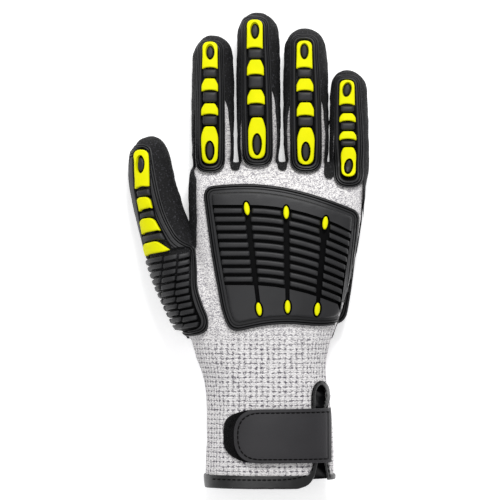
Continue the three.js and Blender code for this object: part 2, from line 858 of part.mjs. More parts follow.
add('knit_shell', knitShell(), 'knit');
add('palm_coating', palmCoating(), 'coating');
Object.keys(fingers).forEach(fingerGuard);
backPlate();
thumbGuard();
add('cuff_binding', cuffBinding(), 'fabric');
add('slit_gusset', slitGusset(), 'fabric');
add('loop_patch', loopPatch(), 'fabric');
add('wrist_strap', wristStrap(), 'leather');

// The part's origin is the bottom centre of its own box
const bounds = new THREE.Box3().setFromObject(group);
for (const mesh of group.children) {
  mesh.position.set(-(bounds.min.x + bounds.max.x) / 2, -(bounds.min.y + bounds.max.y) / 2, -bounds.min.z);
}

export default group;
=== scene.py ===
# A right-hand impact glove lying palm down: a knit shell with a coated palm, moulded guards and a bound cuff.
# Pieces are modelled in millimetres: the hem at y = 0, the cuff's middle at x = 0, the surface at z = 0.
import math
import random

import bpy
from mathutils import Matrix, Vector
from mathutils.bvhtree import BVHTree


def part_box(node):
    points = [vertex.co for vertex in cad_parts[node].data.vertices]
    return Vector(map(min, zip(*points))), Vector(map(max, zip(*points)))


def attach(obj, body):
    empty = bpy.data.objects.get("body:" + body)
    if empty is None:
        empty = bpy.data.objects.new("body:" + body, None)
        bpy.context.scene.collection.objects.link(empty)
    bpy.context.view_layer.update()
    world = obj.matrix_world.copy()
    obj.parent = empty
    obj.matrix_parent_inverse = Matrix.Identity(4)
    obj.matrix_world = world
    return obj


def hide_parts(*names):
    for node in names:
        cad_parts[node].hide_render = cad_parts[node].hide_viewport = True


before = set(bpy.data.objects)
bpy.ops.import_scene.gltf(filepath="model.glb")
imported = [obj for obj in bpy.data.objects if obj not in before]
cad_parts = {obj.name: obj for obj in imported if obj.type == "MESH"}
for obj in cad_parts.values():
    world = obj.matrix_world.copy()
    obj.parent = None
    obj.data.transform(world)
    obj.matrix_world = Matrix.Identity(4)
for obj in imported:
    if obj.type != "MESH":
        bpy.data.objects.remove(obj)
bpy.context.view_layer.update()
random.seed(7)

# Where the glove lies in the frame: the strap's left end and the hem give the two offsets
MM = 0.001
STRAP_LEFT = -19.8
TO_FRAME = (
    Matrix.Translation((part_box("wrist_strap")[0].x - STRAP_LEFT * MM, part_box("cuff_binding")[0].y, 0))
    @ Matrix.Scale(MM, 4)
)

# Walls and clearances
CLEARANCE = 0.3
KNIT_WALL = 1.4
COAT_WALL = 0.9
COAT_LIFT = CLEARANCE + COAT_WALL
BINDING_WALL = 0.9


def named(keys, values):
    return dict(zip(keys, values))


def table(keys, rows):
    """Rows of values by name, each value with its key."""
    return {name: named(keys, values) for name, values in rows.items()}


# Hand and fingers
HAND_LENGTH = 180
CUFF_HALF_WIDTH = 35.2
CUFF_HEIGHT = 38
CUFF_LIFT = 2.6
PALM_LEFT = 44.2
PALM_RIGHT = 53.2
PALM_HEIGHT = 33
FINGER_ROOT = 20
CAP_SHARE = 1.15
CORE_SHARE = 0.45
FINGERS = table(("x", "length", "width", "height", "lean", "bulge", "ahead"), {
    "index": (-31.9, 69.5, 21.0, 18.0, 0.0, 0.5, 1.9),
    "middle": (-6.4, 82.8, 21.2, 18.5, 0.4, 1.0, 1.4),
    "ring": (20.0, 73.3, 21.5, 18.0, 0.6, 1.4, 2.1),
    "little": (44.3, 50.3, 18.0, 16.0, 0.7, 1.3, 1.6),
})
THUMB_ROOT = (-24.5, 66)
THUMB_UP = 128.6
THUMB_OUT = 42.5
THUMB_WIDTH = 21.5
THUMB_HEIGHT = 21
THUMB_GAP = 1.5
THUMB_SWELL = 1.2

# Sections of the hand: shares of its length, then how far its sides, top and lift go from cuff to palm
HAND_SECTIONS = [named(("along", "left", "right", "top", "lift", "square"), row) for row in (
    (-0.06, 0.06, 0.04, 0.0, 1.0, 2.2),
    (0.0, 0.06, 0.04, 0.0, 1.0, 2.2),
    (0.2, -0.03, 0.05, 0.0, 1.0, 2.2),
    (0.3, -0.03, -0.15, 0.12, 0.8, 2.2),
    (0.36, 0.28, -0.23, 0.25, 0.6, 2.2),
    (0.43, 1.0, -0.18, 0.45, 0.0, 2.3),
    (0.54, 0.9, 0.3, 0.65, 0.0, 2.4),
    (0.7, 0.85, 0.7, 0.95, 0.0, 2.5),
    (0.85, 0.93, 0.9, 1.4, 0.0, 2.6),
    (0.94, 1.0, 1.0, 2.0, 0.0, 2.6),
    (0.982, 0.96, 0.97, 2.9, 0.3, 2.4),
)]
# Sections of the thumb: shares of its reach up and out, then of its width and height
THUMB_SECTIONS = [named(("up", "out", "width", "height"), row) for row in (
    (0.06, -0.06, 1.0, 1.2),
    (0.2, 0.2, 1.45, 1.45),
    (0.32, 0.41, 1.42, 1.42),
    (0.48, 0.635, 1.29, 1.27),
    (0.68, 0.83, 1.11, 1.08),
    (0.82, 0.93, 0.99, 0.98),
    (0.9, 0.965, 0.9, 0.9),
    (0.955, 0.985, 0.72, 0.74),
    (0.985, 0.995, 0.46, 0.5),
    (1.0, 1.0, 0.16, 0.2),
)]


def mix(low, high, share):
    return low + (high - low) * share


def smooth_step(low, high, value):
    share = min(max((value - low) / (high - low), 0), 1)
    return share * share * (3 - 2 * share)


# Work on one object, as by hand
def select_only(*objects):
    if bpy.context.object and bpy.context.object.mode != "OBJECT":
        bpy.ops.object.mode_set(mode="OBJECT")
    bpy.ops.object.select_all(action="DESELECT")
    for one in objects:
        one.select_set(True)
    bpy.context.view_layer.objects.active = objects[0]


def edit(piece, kind="VERT"):
    select_only(piece)
    bpy.ops.object.mode_set(mode="EDIT")
    bpy.ops.mesh.select_mode(type=kind)
    bpy.ops.mesh.select_all(action="SELECT")


def done():
    bpy.ops.object.mode_set(mode="OBJECT")


def copy_of(piece, name):
    twin = piece.copy()
    twin.data = piece.data.copy()
    twin.name = name
    bpy.context.collection.objects.link(twin)
    return twin


def joined(name, pieces):
    select_only(*pieces)
    if len(pieces) > 1:
        bpy.ops.object.join()
    pieces[0].name = name
    return pieces[0]


def modify(piece, kind, **settings):
    select_only(piece)
    modifier = piece.modifiers.new(kind.lower(), kind)
    for name, value in settings.items():
        setattr(modifier, name, value)
    bpy.ops.object.modifier_apply(modifier=modifier.name)


def combine(piece, other, operation):
    modify(piece, "BOOLEAN", object=other, operation=operation, solver="EXACT")
    bpy.data.objects.remove(other)


# Flat outlines, pulled up step by step into moulded shapes
def rounded(corners, counts):
    """Points round the corners, each cut back by its radius in as many steps as its count says."""
    points = []
    total = len(corners)
    for i, (x, y, radius) in enumerate(corners):
        corner = Vector((x, y))
        back = Vector(corners[i - 1][:2]) - corner
        on = Vector(corners[(i + 1) % total][:2]) - corner
        reach = min(radius, 0.49 * back.length, 0.49 * on.length)
        start = corner + back.normalized() * reach
        end = corner + on.normalized() * reach
        if counts[i] == 0:
            points.append(corner)
            continue
        for k in range(counts[i] + 1):
            t = k / counts[i]
            points.append(start * (1 - t) ** 2 + corner * 2 * t * (1 - t) + end * t**2)
    return points


def corner_counts(corners, steps):
    return [0 if radius == 0 else max(1, min(steps, round(radius / 0.35))) for _, _, radius in corners]


def anticlockwise(corners):
    area = sum(a[0] * b[1] - b[0] * a[1] for a, b in zip(corners, corners[1:] + corners[:1]))
    return corners if area > 0 else corners[::-1]


def shrunk(corners, inset):
    """Anticlockwise corners with every edge moved inwards, and their radii to suit."""
    moved = []
    total = len(corners)
    for i, (x, y, radius) in enumerate(corners):
        back = (Vector((x, y)) - Vector(corners[i - 1][:2])).normalized()
        on = (Vector(corners[(i + 1) % total][:2]) - Vector((x, y))).normalized()
        half_turn = back.cross(on) / (1 + back.dot(on))
        shift = Vector((-back.y - on.y, back.x + on.x)) * inset / (1 + back.dot(on))
        moved.append((x + shift.x, y + shift.y, max(radius - inset * half_turn, 0)))
    return moved


def outline(name, points, level=0):
    bpy.ops.mesh.primitive_circle_add(vertices=len(points), fill_type="NGON")
    piece = bpy.context.object
    piece.name = name
    for vertex, point in zip(piece.data.vertices, points):
        vertex.co = (point[0], point[1], level)
    edit(piece)
    bpy.ops.mesh.normals_make_consistent(inside=False)
    if piece.data.polygons[0].normal.z < 0:
        bpy.ops.mesh.flip_normals()
    done()
    if piece.data.polygons[0].normal.z < 0:
        edit(piece)
        bpy.ops.mesh.flip_normals()
        done()
    return piece


def pull_up(piece, wall):
    edit(piece, "FACE")
    bpy.ops.mesh.extrude_region_move(TRANSFORM_OT_translate={"value": (0, 0, wall)})
    bpy.ops.mesh.select_all(action="SELECT")
    bpy.ops.mesh.normals_make_consistent(inside=False)
    done()
    return piece


def stepped(name, ring, floor, wall, crown):
    """A flat piece pulled up by its wall, whose top then steps inward and up, ring by ring."""
    points = ring(0)
    piece = outline(name, points, floor)
    edit(piece, "FACE")
    bpy.ops.mesh.extrude_region_move(TRANSFORM_OT_translate={"value": (0, 0, wall)})
    inset = 0
    for inward, up in crown:
        bpy.ops.mesh.extrude_region_move(TRANSFORM_OT_translate={"value": (0, 0, up)})
        done()
        inset += inward
        top = next(face for face in piece.data.polygons if face.select)
        corners = [piece.data.vertices[i] for i in top.vertices]
        first = min(range(len(points)), key=lambda i: (corners[0].co.xy - points[i]).length)
        step = 1 if (corners[1].co.xy - points[(first + 1) % len(points)]).length < 1e-4 else -1
        points = ring(inset)
        for k, corner in enumerate(corners):
            corner.co.xy = points[(first + step * k) % len(points)]
        bpy.ops.object.mode_set(mode="EDIT")
    bpy.ops.mesh.select_mode(type="VERT")
    bpy.ops.mesh.select_all(action="SELECT")
    bpy.ops.mesh.remove_doubles(threshold=0.001)
    bpy.ops.mesh.normals_make_consistent(inside=False)
    done()
    return piece


def slice_up(piece, across, along):
    """Cuts through the whole piece at even steps, so that it can follow the hand."""
    edit(piece)
    corners = [vertex.co.copy() for vertex in piece.data.vertices]
    for axis, pitch in ((0, across), (1, along)):
        low = min(corner[axis] for corner in corners)
        high = max(corner[axis] for corner in corners)
        for k in range(math.ceil(low / pitch), math.floor(high / pitch) + 1):
            normal = [0, 0, 0]
            place = [0, 0, 0]
            normal[axis] = 1
            place[axis] = k * pitch + 0.013
            bpy.ops.mesh.select_all(action="SELECT")
            bpy.ops.mesh.bisect(plane_co=place, plane_no=normal)
    bpy.ops.mesh.select_all(action="SELECT")
    bpy.ops.mesh.remove_doubles(threshold=0.01)
    bpy.ops.mesh.quads_convert_to_tris()
    done()


# The filled form of the hand, which every piece is laid on
TIP_SHARE = 0.94
TIP_LIFT = 0.42
TIP_DISTANCES = (0.1, 0.9, 2.2, 4, 6.5, 9.5, 13, 18, 25, 34, 44)
ROOT_SWELL = 0.12
TOP_SHARE = 0.97
FINGER_SQUARE = 2.2
THUMB_SQUARE = 2.15
UNDER_DEPTH = 1.3
# The web between palm and fingers: how far it goes past the palm, inwards, up and down
WEB_PAST = 0.3
WEB_INSET = 2
WEB_RISE = 0.3
WEB_DROP = 0.35


def finger_width(from_tip, half):
    """Share of the finger's width at a distance from its tip: a round cap, then a slow taper."""
    cap = CAP_SHARE * half
    if from_tip < cap:
        return TIP_SHARE * math.sqrt(1 - (1 - from_tip / cap) ** 2)
    return mix(TIP_SHARE, 1.0, smooth_step(cap, 2.8 * half, from_tip))


def finger_rows(finger):
    half = finger["width"] / 2
    tip = HAND_LENGTH + finger["length"] + finger["ahead"]
    rows = []
    for from_tip in (*TIP_DISTANCES, finger["length"] + FINGER_ROOT):
        share = finger_width(from_tip, half)
        along = max(0, 1 - from_tip / finger["length"])
        swell = 1 + ROOT_SWELL * (1 - along)
        bottom = COAT_LIFT + TIP_LIFT * (1 - share) * finger["height"]
        rows.append({
            "x": finger["x"] - finger["lean"] * along,
            "y": tip - from_tip,
            "heading": (0, 1),
            "left": share * half,
            "right": share * (half + finger["bulge"]),
            "bottom": bottom,
            "top": bottom + share * swell * TOP_SHARE * finger["height"],
            "square": FINGER_SQUARE,
        })
    return rows[::-1]


def hand_rows():
    rows = []
    for row in HAND_SECTIONS:
        rows.append({
            "x": 0,
            "y": row["along"] * HAND_LENGTH,
            "heading": (0, 1),
            "left": mix(CUFF_HALF_WIDTH, PALM_LEFT, row["left"]),
            "right": mix(CUFF_HALF_WIDTH, PALM_RIGHT, row["right"]),
            "bottom": mix(COAT_LIFT, CUFF_LIFT, row["lift"]),
            "top": mix(CUFF_LIFT + CUFF_HEIGHT, COAT_LIFT + PALM_HEIGHT, row["top"]),
            "square": row["square"],
        })
    web = dict(rows[-1])
    height = web["top"] - web["bottom"]
    web.update(y=HAND_LENGTH + WEB_PAST, left=web["left"] - WEB_INSET, right=web["right"] - WEB_INSET)
    web.update(bottom=web["bottom"] + WEB_RISE * height, top=web["top"] - WEB_DROP * height)
    rows.append(web)
    return rows


def thumb_spine():
    return [
        Vector((THUMB_ROOT[0] - row["out"] * THUMB_OUT, THUMB_ROOT[1] + row["up"] * THUMB_UP))
        for row in THUMB_SECTIONS
    ]


def thumb_rows():
    spine = thumb_spine()
    rows = []
    for i, row in enumerate(THUMB_SECTIONS):
        heading = (spine[min(i + 1, len(spine) - 1)] - spine[max(i - 1, 0)]).normalized()
        raised = 0.4 * max(0, 0.95 - row["width"]) * THUMB_HEIGHT
        rows.append({
            "x": spine[i].x,
            "y": spine[i].y,
            "heading": tuple(heading),
            "left": row["width"] * THUMB_WIDTH / 2 + THUMB_SWELL * smooth_step(0.5, 0.8, row["up"]),
            "right": row["width"] * THUMB_WIDTH / 2 - (THUMB_GAP if 0.4 < row["up"] < 0.85 else 0),
            "bottom": COAT_LIFT + raised,
            "top": COAT_LIFT + raised + row["height"] * THUMB_HEIGHT,
            "square": THUMB_SQUARE,
        })
    return rows


def tube(name, rows, sides):
    """A cylinder, cut once for each section, whose rings are then scaled and moved into place."""
    last = len(rows) - 1
    bpy.ops.mesh.primitive_cylinder_add(vertices=sides, depth=last, location=(0, 0, last / 2))
    piece = bpy.context.object
    piece.name = name
    select_only(piece)
    bpy.ops.object.transform_apply(location=True, rotation=True, scale=True)
    edit(piece)
    for i in range(1, last):
        bpy.ops.mesh.select_all(action="SELECT")
        bpy.ops.mesh.bisect(plane_co=(0, 0, i), plane_no=(0, 0, 1))
    done()
    for vertex in piece.data.vertices:
        row = rows[round(vertex.co.z)]
        turn = math.atan2(vertex.co.y, vertex.co.x)
        across, rise = math.cos(turn), math.sin(turn)
        power = 2 / row["square"]
        middle = mix(row["bottom"], row["top"], CORE_SHARE)
        reach = row["right"] if across > 0 else row["left"]
        side = math.copysign(reach * abs(across) ** power, across)
        depth = row["top"] - middle if rise > 0 else UNDER_DEPTH * (middle - row["bottom"])
        height = middle + math.copysign(depth * abs(rise) ** power, rise)
        heading = row["heading"]
        vertex.co = (
            row["x"] + side * heading[1],
            row["y"] - side * heading[0],
            max(height, row["bottom"]),
        )
    edit(piece)
    bpy.ops.mesh.normals_make_consistent(inside=False)
    done()
    return piece


FORM_VOXEL = 1.15
SLACK_SIZE = 20
SLACK_DEPTH = 1.0


def cloud_texture(name, size):
    texture = bpy.data.textures.new(name, "CLOUDS")
    texture.noise_scale = size
    texture.noise_depth = 3
    return texture


def hand_form():
    """The hand that fills the glove: tubes for fingers, thumb and palm, made one by voxels and smoothed."""
    tubes = [tube(name + "_form", finger_rows(finger), 28) for name, finger in FINGERS.items()]
    tubes.append(tube("thumb_form", thumb_rows(), 32))
    tubes.append(tube("palm_form", hand_rows(), 48))
    for one in tubes:
        modify(one, "SUBSURF", levels=1, render_levels=1)
    form = joined("hand_form", tubes)
    modify(form, "REMESH", mode="VOXEL", voxel_size=FORM_VOXEL, adaptivity=0)
    modify(form, "SMOOTH", factor=0.5, iterations=9)
    slack = cloud_texture("slack", SLACK_SIZE)
    modify(form, "DISPLACE", texture=slack, texture_coords="LOCAL", strength=SLACK_DEPTH, mid_level=0.5)
    return form


class Skin:
    """The form's surface moved out by a level, for rays to find."""

    def __init__(self, form, level):
        corners = [vertex.co + vertex.normal * level for vertex in form.data.vertices]
        faces = [tuple(face.vertices) for face in form.data.polygons]
        self.tree = BVHTree.FromPolygons(corners, faces)

    def hit(self, origin, direction):
        return self.tree.ray_cast(Vector(origin), Vector(direction))[0]


HIGH_LEVEL = 5.0
TYPICAL_LEVEL = 2.5
SKY = 90
STEEPEST = 1.8
UNDER_STEEP = 1.3
REST_HEIGHT = 9.0

form = hand_form()
low_skin = Skin(form, 0)
high_skin = Skin(form, HIGH_LEVEL)


def from_above(x, y, level):
    """The place at a level over the knit, straight above or below (x, y)."""
    low = low_skin.hit((x, y, SKY), (0, 0, -1))
    high = high_skin.hit((x, y, SKY), (0, 0, -1))
    low_z = low.z if low else REST_HEIGHT
    high_z = high.z if high else REST_HEIGHT
    steep = UNDER_STEEP if level < 0 else min((high_z - low_z) / HIGH_LEVEL, STEEPEST)
    return Vector((x, y, low_z + level * steep))


# Past this share of its radius a finger's side is so steep that a piece is turned round it by angle
STEEP = 0.85
SIDE_GAIN = 3.0


def turned_out(sideways, onward, steep_gain):
    """Direction of a ray from a finger's core, for a place aside and ahead of it in shares of its radius."""
    reach = math.hypot(sideways, onward)
    if reach < 1e-6:
        return Vector((0, 0, 1))
    angle = math.asin(min(reach, STEEP)) + max(0, reach - STEEP) * steep_gain
    return Vector((
        sideways / reach * math.sin(angle),
        onward / reach * math.sin(angle),
        math.cos(angle),
    ))


def round_core(core, x, y, level, cap_y, radius, cap_radius, steep_gain=SIDE_GAIN):
    """The place at a level over the knit, on a ray from the core of a finger or of the thumb."""
    direction = turned_out((x - core.x) / radius, max(0, y - cap_y) / cap_radius, steep_gain)
    origin = Vector((core.x, min(y, cap_y), core.z))
    low = low_skin.hit(origin, direction)
    high = high_skin.hit(origin, direction)
    if low is None or high is None:
        return from_above(x, y, level)
    return low.lerp(high, level / HIGH_LEVEL)


def on_finger(name):
    """How a finger's pieces lie: from above on the palm, and round the finger's core beyond it."""
    finger = FINGERS[name]
    half = finger["width"] / 2
    cap = CAP_SHARE * half
    cap_y = HAND_LENGTH + finger["length"] + finger["ahead"] - cap

    def lay(x, y, level):
        above = from_above(x, y, level)
        share = smooth_step(HAND_LENGTH - 2, HAND_LENGTH + 14, y)
        if share == 0:
            return above
        along = (y - HAND_LENGTH) / finger["length"]
        core = Vector((finger["x"] - finger["lean"] * along, y, COAT_LIFT + CORE_SHARE * finger["height"]))
        around = round_core(core, x, y, level, cap_y, half + TYPICAL_LEVEL, cap + TYPICAL_LEVEL)
        return above.lerp(around, share)

    return lay


def thumb_core(y):
    """Centre and half width of the thumb at a y."""
    spine = thumb_spine()
    rows = THUMB_SECTIONS
    for i in range(len(rows) - 1):
        if y <= spine[i + 1].y or i == len(rows) - 2:
            share = min(max((y - spine[i].y) / (spine[i + 1].y - spine[i].y), 0), 1)
            width = mix(rows[i]["width"], rows[i + 1]["width"], share) * THUMB_WIDTH / 2
            height = mix(rows[i]["height"], rows[i + 1]["height"], share) * THUMB_HEIGHT
            x = mix(spine[i].x, spine[i + 1].x, share)
            return Vector((x, y, COAT_LIFT + CORE_SHARE * height)), width


THUMB_CAP = 11
THUMB_CAP_Y = THUMB_ROOT[1] + THUMB_UP - THUMB_CAP
ROLL_GAIN = 1.35


def on_thumb(x, y, level):
    """A piece rolls over the thumb's side left of its core, and lies as seen from above right of it."""
    core, half = thumb_core(min(y, THUMB_CAP_Y))
    if y <= THUMB_CAP_Y and x >= core.x:
        return from_above(x, y, level)
    gain = ROLL_GAIN if x < core.x and y <= THUMB_CAP_Y else SIDE_GAIN
    core.y = y
    return round_core(core, x, y, level, THUMB_CAP_Y, half + TYPICAL_LEVEL, THUMB_CAP + TYPICAL_LEVEL, gain)


def rest_on_floor(piece):
    """Flattens what would hang below the surface that the glove lies on."""
    for vertex in piece.data.vertices:
        vertex.co.z = max(vertex.co.z, 0)


def drape(piece, lay):
    """Lays a flat piece on the hand, and writes down each vertex's height over the knit."""
    level = piece.data.attributes.new("level", "FLOAT", "POINT")
    for vertex, spot in zip(piece.data.vertices, level.data):
        spot.value = vertex.co.z
        vertex.co = lay(vertex.co.x, vertex.co.y, vertex.co.z)
    rest_on_floor(piece)


# Materials
def colour(code):
    """An sRGB hex value as linear red, green, blue and alpha."""
    parts = [int(code[i : i + 2], 16) / 255 for i in (1, 3, 5)]
    return (*[p / 12.92 if p <= 0.04045 else ((p + 0.055) / 1.055) ** 2.4 for p in parts], 1)


def add_node(tree, kind, inputs=None, **settings):
    node = tree.nodes.new("ShaderNode" + kind)
    for name, value in settings.items():
        setattr(node, name, value)
    for key, value in (inputs or {}).items():
        if isinstance(value, bpy.types.NodeSocket):
            tree.links.new(value, node.inputs[key])
        else:
            node.inputs[key].default_value = value
    return node


def new_material(name, base, **values):
    """A material with its uniform values on the shader's own sockets."""
    material = bpy.data.materials.new(name)
    material.use_nodes = True
    shader = material.node_tree.nodes["Principled BSDF"]
    shader.inputs["Base Color"].default_value = colour(base)
    for key, value in values.items():
        shader.inputs[key.replace("_", " ").title().replace("Ior", "IOR")].default_value = value
    return material, material.node_tree, shader


def calculated(tree, operation, *values, clamp=False):
    node = add_node(tree, "Math", dict(enumerate(values)), operation=operation, use_clamp=clamp)
    return node.outputs["Value"]


def ranged(tree, value, low, high, to_low=0.0, to_high=1.0):
    limits = {"From Min": low, "From Max": high, "To Min": to_low, "To Max": to_high}
    return add_node(tree, "MapRange", {"Value": value, **limits}).outputs["Result"]


def own_attribute(tree, name, output):
    return add_node(tree, "Attribute", attribute_name=name, attribute_type="GEOMETRY").outputs[output]


def pattern(tree, kind, scale, output="Fac", settings=None, **inputs):
    """One output of a texture on the piece's own metres: its scale is in repeats per metre."""
    place = add_node(tree, "TexCoord").outputs["Object"]
    node = add_node(tree, "Tex" + kind, {"Vector": place, "Scale": scale, **inputs}, **(settings or {}))
    return node.outputs[output]


def stretched(tree, vector, across, along):
    return add_node(tree, "Mapping", {"Vector": vector, "Scale": (across, along, 1)}).outputs["Vector"]


def yarn_cells(tree, weave, width, height, randomness):
    """Cells on the knit, of a width and height in millimetres."""
    place = stretched(tree, weave, 1 / width, 1 / height)
    inputs = {"Vector": place, "Scale": 1, "Randomness": randomness}
    return add_node(tree, "TexVoronoi", inputs, voronoi_dimensions="2D")


def blended(tree, factor, first, second):
    node = add_node(tree, "Mix", {0: factor, 6: first, 7: second}, data_type="RGBA")
    return node.outputs[2]


def two_tone(tree, shader, factor, first, second):
    tree.links.new(blended(tree, factor, first, second), shader.inputs["Base Color"])


def finish_bump(tree, shader, height, strength, distance):
    bump = add_node(tree, "Bump", {"Strength": strength, "Distance": distance, "Height": height})
    tree.links.new(bump.outputs["Normal"], shader.inputs["Normal"])


def glow(shader, code, strength):
    shader.inputs["Emission Color"].default_value = colour(code)
    shader.inputs["Emission Strength"].default_value = strength


def knit_material():
    """Marl knit of light and dark yarn: flecks on the hand, and rows of dark stitches on the ribbed cuff."""
    material, tree, shader = new_material("marl_knit", "#cfccce", roughness=0.95, specular_ior_level=0.2)
    weave = own_attribute(tree, "weave", "Vector")
    along = add_node(tree, "SeparateXYZ", {"Vector": weave}).outputs["Y"]
    # Flecks of dark yarn: each stitch has its own tone, 0.55 mm wide and 0.42 mm tall
    flecks = yarn_cells(tree, weave, 0.55, 0.42, 0.85)
    fleck_tone = add_node(tree, "SeparateColor", {"Color": flecks.outputs["Color"]}).outputs["Red"]
    streaks = stretched(tree, weave, 0.5, 1.6)
    patches = add_node(tree, "TexNoise", {"Vector": streaks, "Scale": 0.7, "Detail": 4}).outputs["Fac"]
    dark_fleck = ranged(tree, calculated(tree, "ADD", fleck_tone, patches), 0.7, 1.5)
    # Stitches: columns 1.1 mm apart and rows 0.85 mm apart
    stitch = yarn_cells(tree, weave, 1.1, 0.85, 0.3)
    # Cuff: dark stitches 3.2 mm apart along a row, in rows 2.6 mm apart, over fine threads 1.3 mm apart
    waver = add_node(tree, "TexNoise", {"Vector": weave, "Scale": 0.45, "Detail": 2}).outputs["Color"]
    shift = add_node(tree, "VectorMath", {0: waver, 1: (2.0, 1.4, 0)}, operation="MULTIPLY").outputs["Vector"]
    placed = add_node(tree, "VectorMath", {0: weave, 1: shift}, operation="ADD").outputs["Vector"]
    place = add_node(tree, "SeparateXYZ", {"Vector": placed})
    waves = {}
    for name, axis, pitch in (("column", "X", 3.2), ("row", "Y", 2.6), ("thread", "Y", 1.3)):
        turns = calculated(tree, "MULTIPLY", place.outputs[axis], 2 * math.pi / pitch)
        waves[name] = calculated(tree, "COSINE", turns)
    both = calculated(tree, "ADD", waves["column"], waves["row"])
    mottled = calculated(tree, "MULTIPLY_ADD", fleck_tone, 2.6, both)
    dark_dot = ranged(tree, mottled, 1.2, 4.3)
    thread = ranged(tree, waves["thread"], 0.0, 1.0, 0.0, 0.22)
    fleck_share = calculated(tree, "MULTIPLY_ADD", dark_fleck, 0.3, dark_dot)
    dark_cuff = calculated(tree, "ADD", fleck_share, thread, clamp=True)
    # The cuff's knit gives way to the hand's between 78 and 92 mm from the hem
    cuff = ranged(tree, along, 92.0, 78.0)
    hand_colour = blended(tree, dark_fleck, colour("#efedec"), colour("#8e8b92"))
    cuff_colour = blended(tree, dark_cuff, colour("#eceaea"), colour("#58545e"))
    two_tone(tree, shader, cuff, hand_colour, cuff_colour)
    height = calculated(tree, "MULTIPLY", stitch.outputs["Distance"], -0.4)
    dot_height = calculated(tree, "MULTIPLY", dark_dot, cuff)
    finish_bump(tree, shader, calculated(tree, "SUBTRACT", height, dot_height), 0.7, 0.0004)
    return material


def coating_material():
    """Sandy nitrile: a black skin with fine grit, dull, with a few grains that catch the light."""
    material, tree, shader = new_material("sandy_nitrile", "#111113", roughness=0.75, specular_ior_level=0.3)
    grains = pattern(tree, "Voronoi", 1900, "Color")
    tone = add_node(tree, "SeparateColor", {"Color": grains}).outputs["Green"]
    two_tone(tree, shader, ranged(tree, tone, 0.86, 1.0), colour("#101012"), colour("#3c3c41"))
    finish_bump(tree, shader, pattern(tree, "Noise", 1500, Detail=3, Roughness=0.7), 0.9, 0.0007)
    return material


def rubber_material():
    """Black thermoplastic rubber, moulded: matt, with a faint cloudy bloom, and painted shade that blackens
    its grooves.
    """
    material, tree, shader = new_material(
        "moulded_black_rubber", "#222224", roughness=0.5, specular_ior_level=0.35
    )
    bloom = pattern(tree, "Noise", 90, Detail=4)
    top = blended(tree, bloom, colour("#1d1d1f"), colour("#28282a"))
    # A groove's floor lies 1.5 mm over the knit, and a ridge stands over 2.1 mm: painted shade, read from the
    # level attribute, paints the grooves and low outer walls near black and dims their reflection, fading out
    # towards the ridges
    clear_of_painted_shade = ranged(tree, own_attribute(tree, "level", "Fac"), 1.5, 2.1)
    two_tone(tree, shader, clear_of_painted_shade, colour("#060607"), top)
    tree.links.new(ranged(tree, clear_of_painted_shade, 0.0, 1.0, 0.05, 0.35), shader.inputs["Specular IOR Level"])
    tree.links.new(ranged(tree, bloom, 0.0, 1.0, 0.44, 0.58), shader.inputs["Roughness"])
    finish_bump(tree, shader, pattern(tree, "Noise", 2600, Detail=2), 0.2, 0.0002)
    return material


def yellow_material():
    """Fluorescent yellow thermoplastic rubber: it glows a little, and its colour is greener in places."""
    material, tree, shader = new_material(
        "fluorescent_yellow_rubber", "#e2da00", roughness=0.55, specular_ior_level=0.1
    )
    glow(shader, "#e4f000", 0.06)
    two_tone(tree, shader, pattern(tree, "Noise", 160, Detail=3), colour("#d6da00"), colour("#eae400"))
    finish_bump(tree, shader, pattern(tree, "Noise", 2400, Detail=2), 0.15, 0.0002)
    return material


def strap_material():
    """Synthetic leather: dark grey, with pebbles under a millimetre wide."""
    material, tree, shader = new_material(
        "strap_synthetic_leather", "#262528", roughness=0.55, specular_ior_level=0.4
    )
    two_tone(tree, shader, pattern(tree, "Noise", 70, Detail=3), colour("#222124"), colour("#2c2b2e"))
    pebbles = pattern(tree, "Voronoi", 1500, "Distance", {"feature": "SMOOTH_F1"})
    finish_bump(tree, shader, pebbles, 0.25, 0.0003)
    return material


def binding_material():
    """Woven edge tape of black polyester: a slight satin shine on fine diagonal ribs."""
    material, tree, shader = new_material("woven_edge_tape", "#0d0d0f", roughness=0.3, specular_ior_level=0.6)
    ribs = pattern(tree, "Wave", 700, settings={"bands_direction": "DIAGONAL"}, Distortion=0.6)
    two_tone(tree, shader, ribs, colour("#070708"), colour("#101012"))
    finish_bump(tree, shader, ribs, 0.25, 0.0002)
    return material


def gusset_material():
    """Folded nylon lining: black and shiny on its creases."""
    material, tree, shader = new_material("black_nylon", "#0f0f11", roughness=0.3)
    finish_bump(tree, shader, pattern(tree, "Wave", 700, Distortion=1.0), 0.15, 0.0002)
    return material


def pile_material():
    """Loop pile of a touch fastener: black fibres that take the light only at grazing angles."""
    material, tree, shader = new_material(
        "loop_pile", "#08080a", roughness=0.95, specular_ior_level=0.1, sheen_weight=0.08
    )
    finish_bump(tree, shader, pattern(tree, "Voronoi", 1600, "Distance"), 0.8, 0.0006)
    return material


def thread_material():
    """Bonded sewing thread: black, with a soft shine."""
    material, tree, shader = new_material("black_thread", "#020202", roughness=0.6, specular_ior_level=0.1)
    twist = pattern(tree, "Wave", 900, settings={"bands_direction": "DIAGONAL"})
    finish_bump(tree, shader, twist, 0.4, 0.0002)
    return material


MATERIALS = {
    "knit_yarn": knit_material(),
    "sandy_coating": coating_material(),
    "black_rubber": rubber_material(),
    "yellow_rubber": yellow_material(),
    "strap_leather": strap_material(),
    "black_fabric": binding_material(),
}
gusset_finish = gusset_material()
pile_finish = pile_material()
thread_finish = thread_material()


def finish_piece(piece, name, slot, nodes=(), material=None, angle=32):
    """Puts a piece into the frame, in metres, with its finish (the slot's material unless one is given), and
    hides the nodes that it stands for.
    """
    piece.name = name
    piece.data.name = name
    piece.data.transform(TO_FRAME)
    piece.data.materials.clear()
    piece.data.materials.append(material or MATERIALS[slot])
    select_only(piece)
    bpy.ops.object.shade_smooth_by_angle(angle=math.radians(angle))
    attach(piece, "root")
    if nodes:
        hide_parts(*nodes)


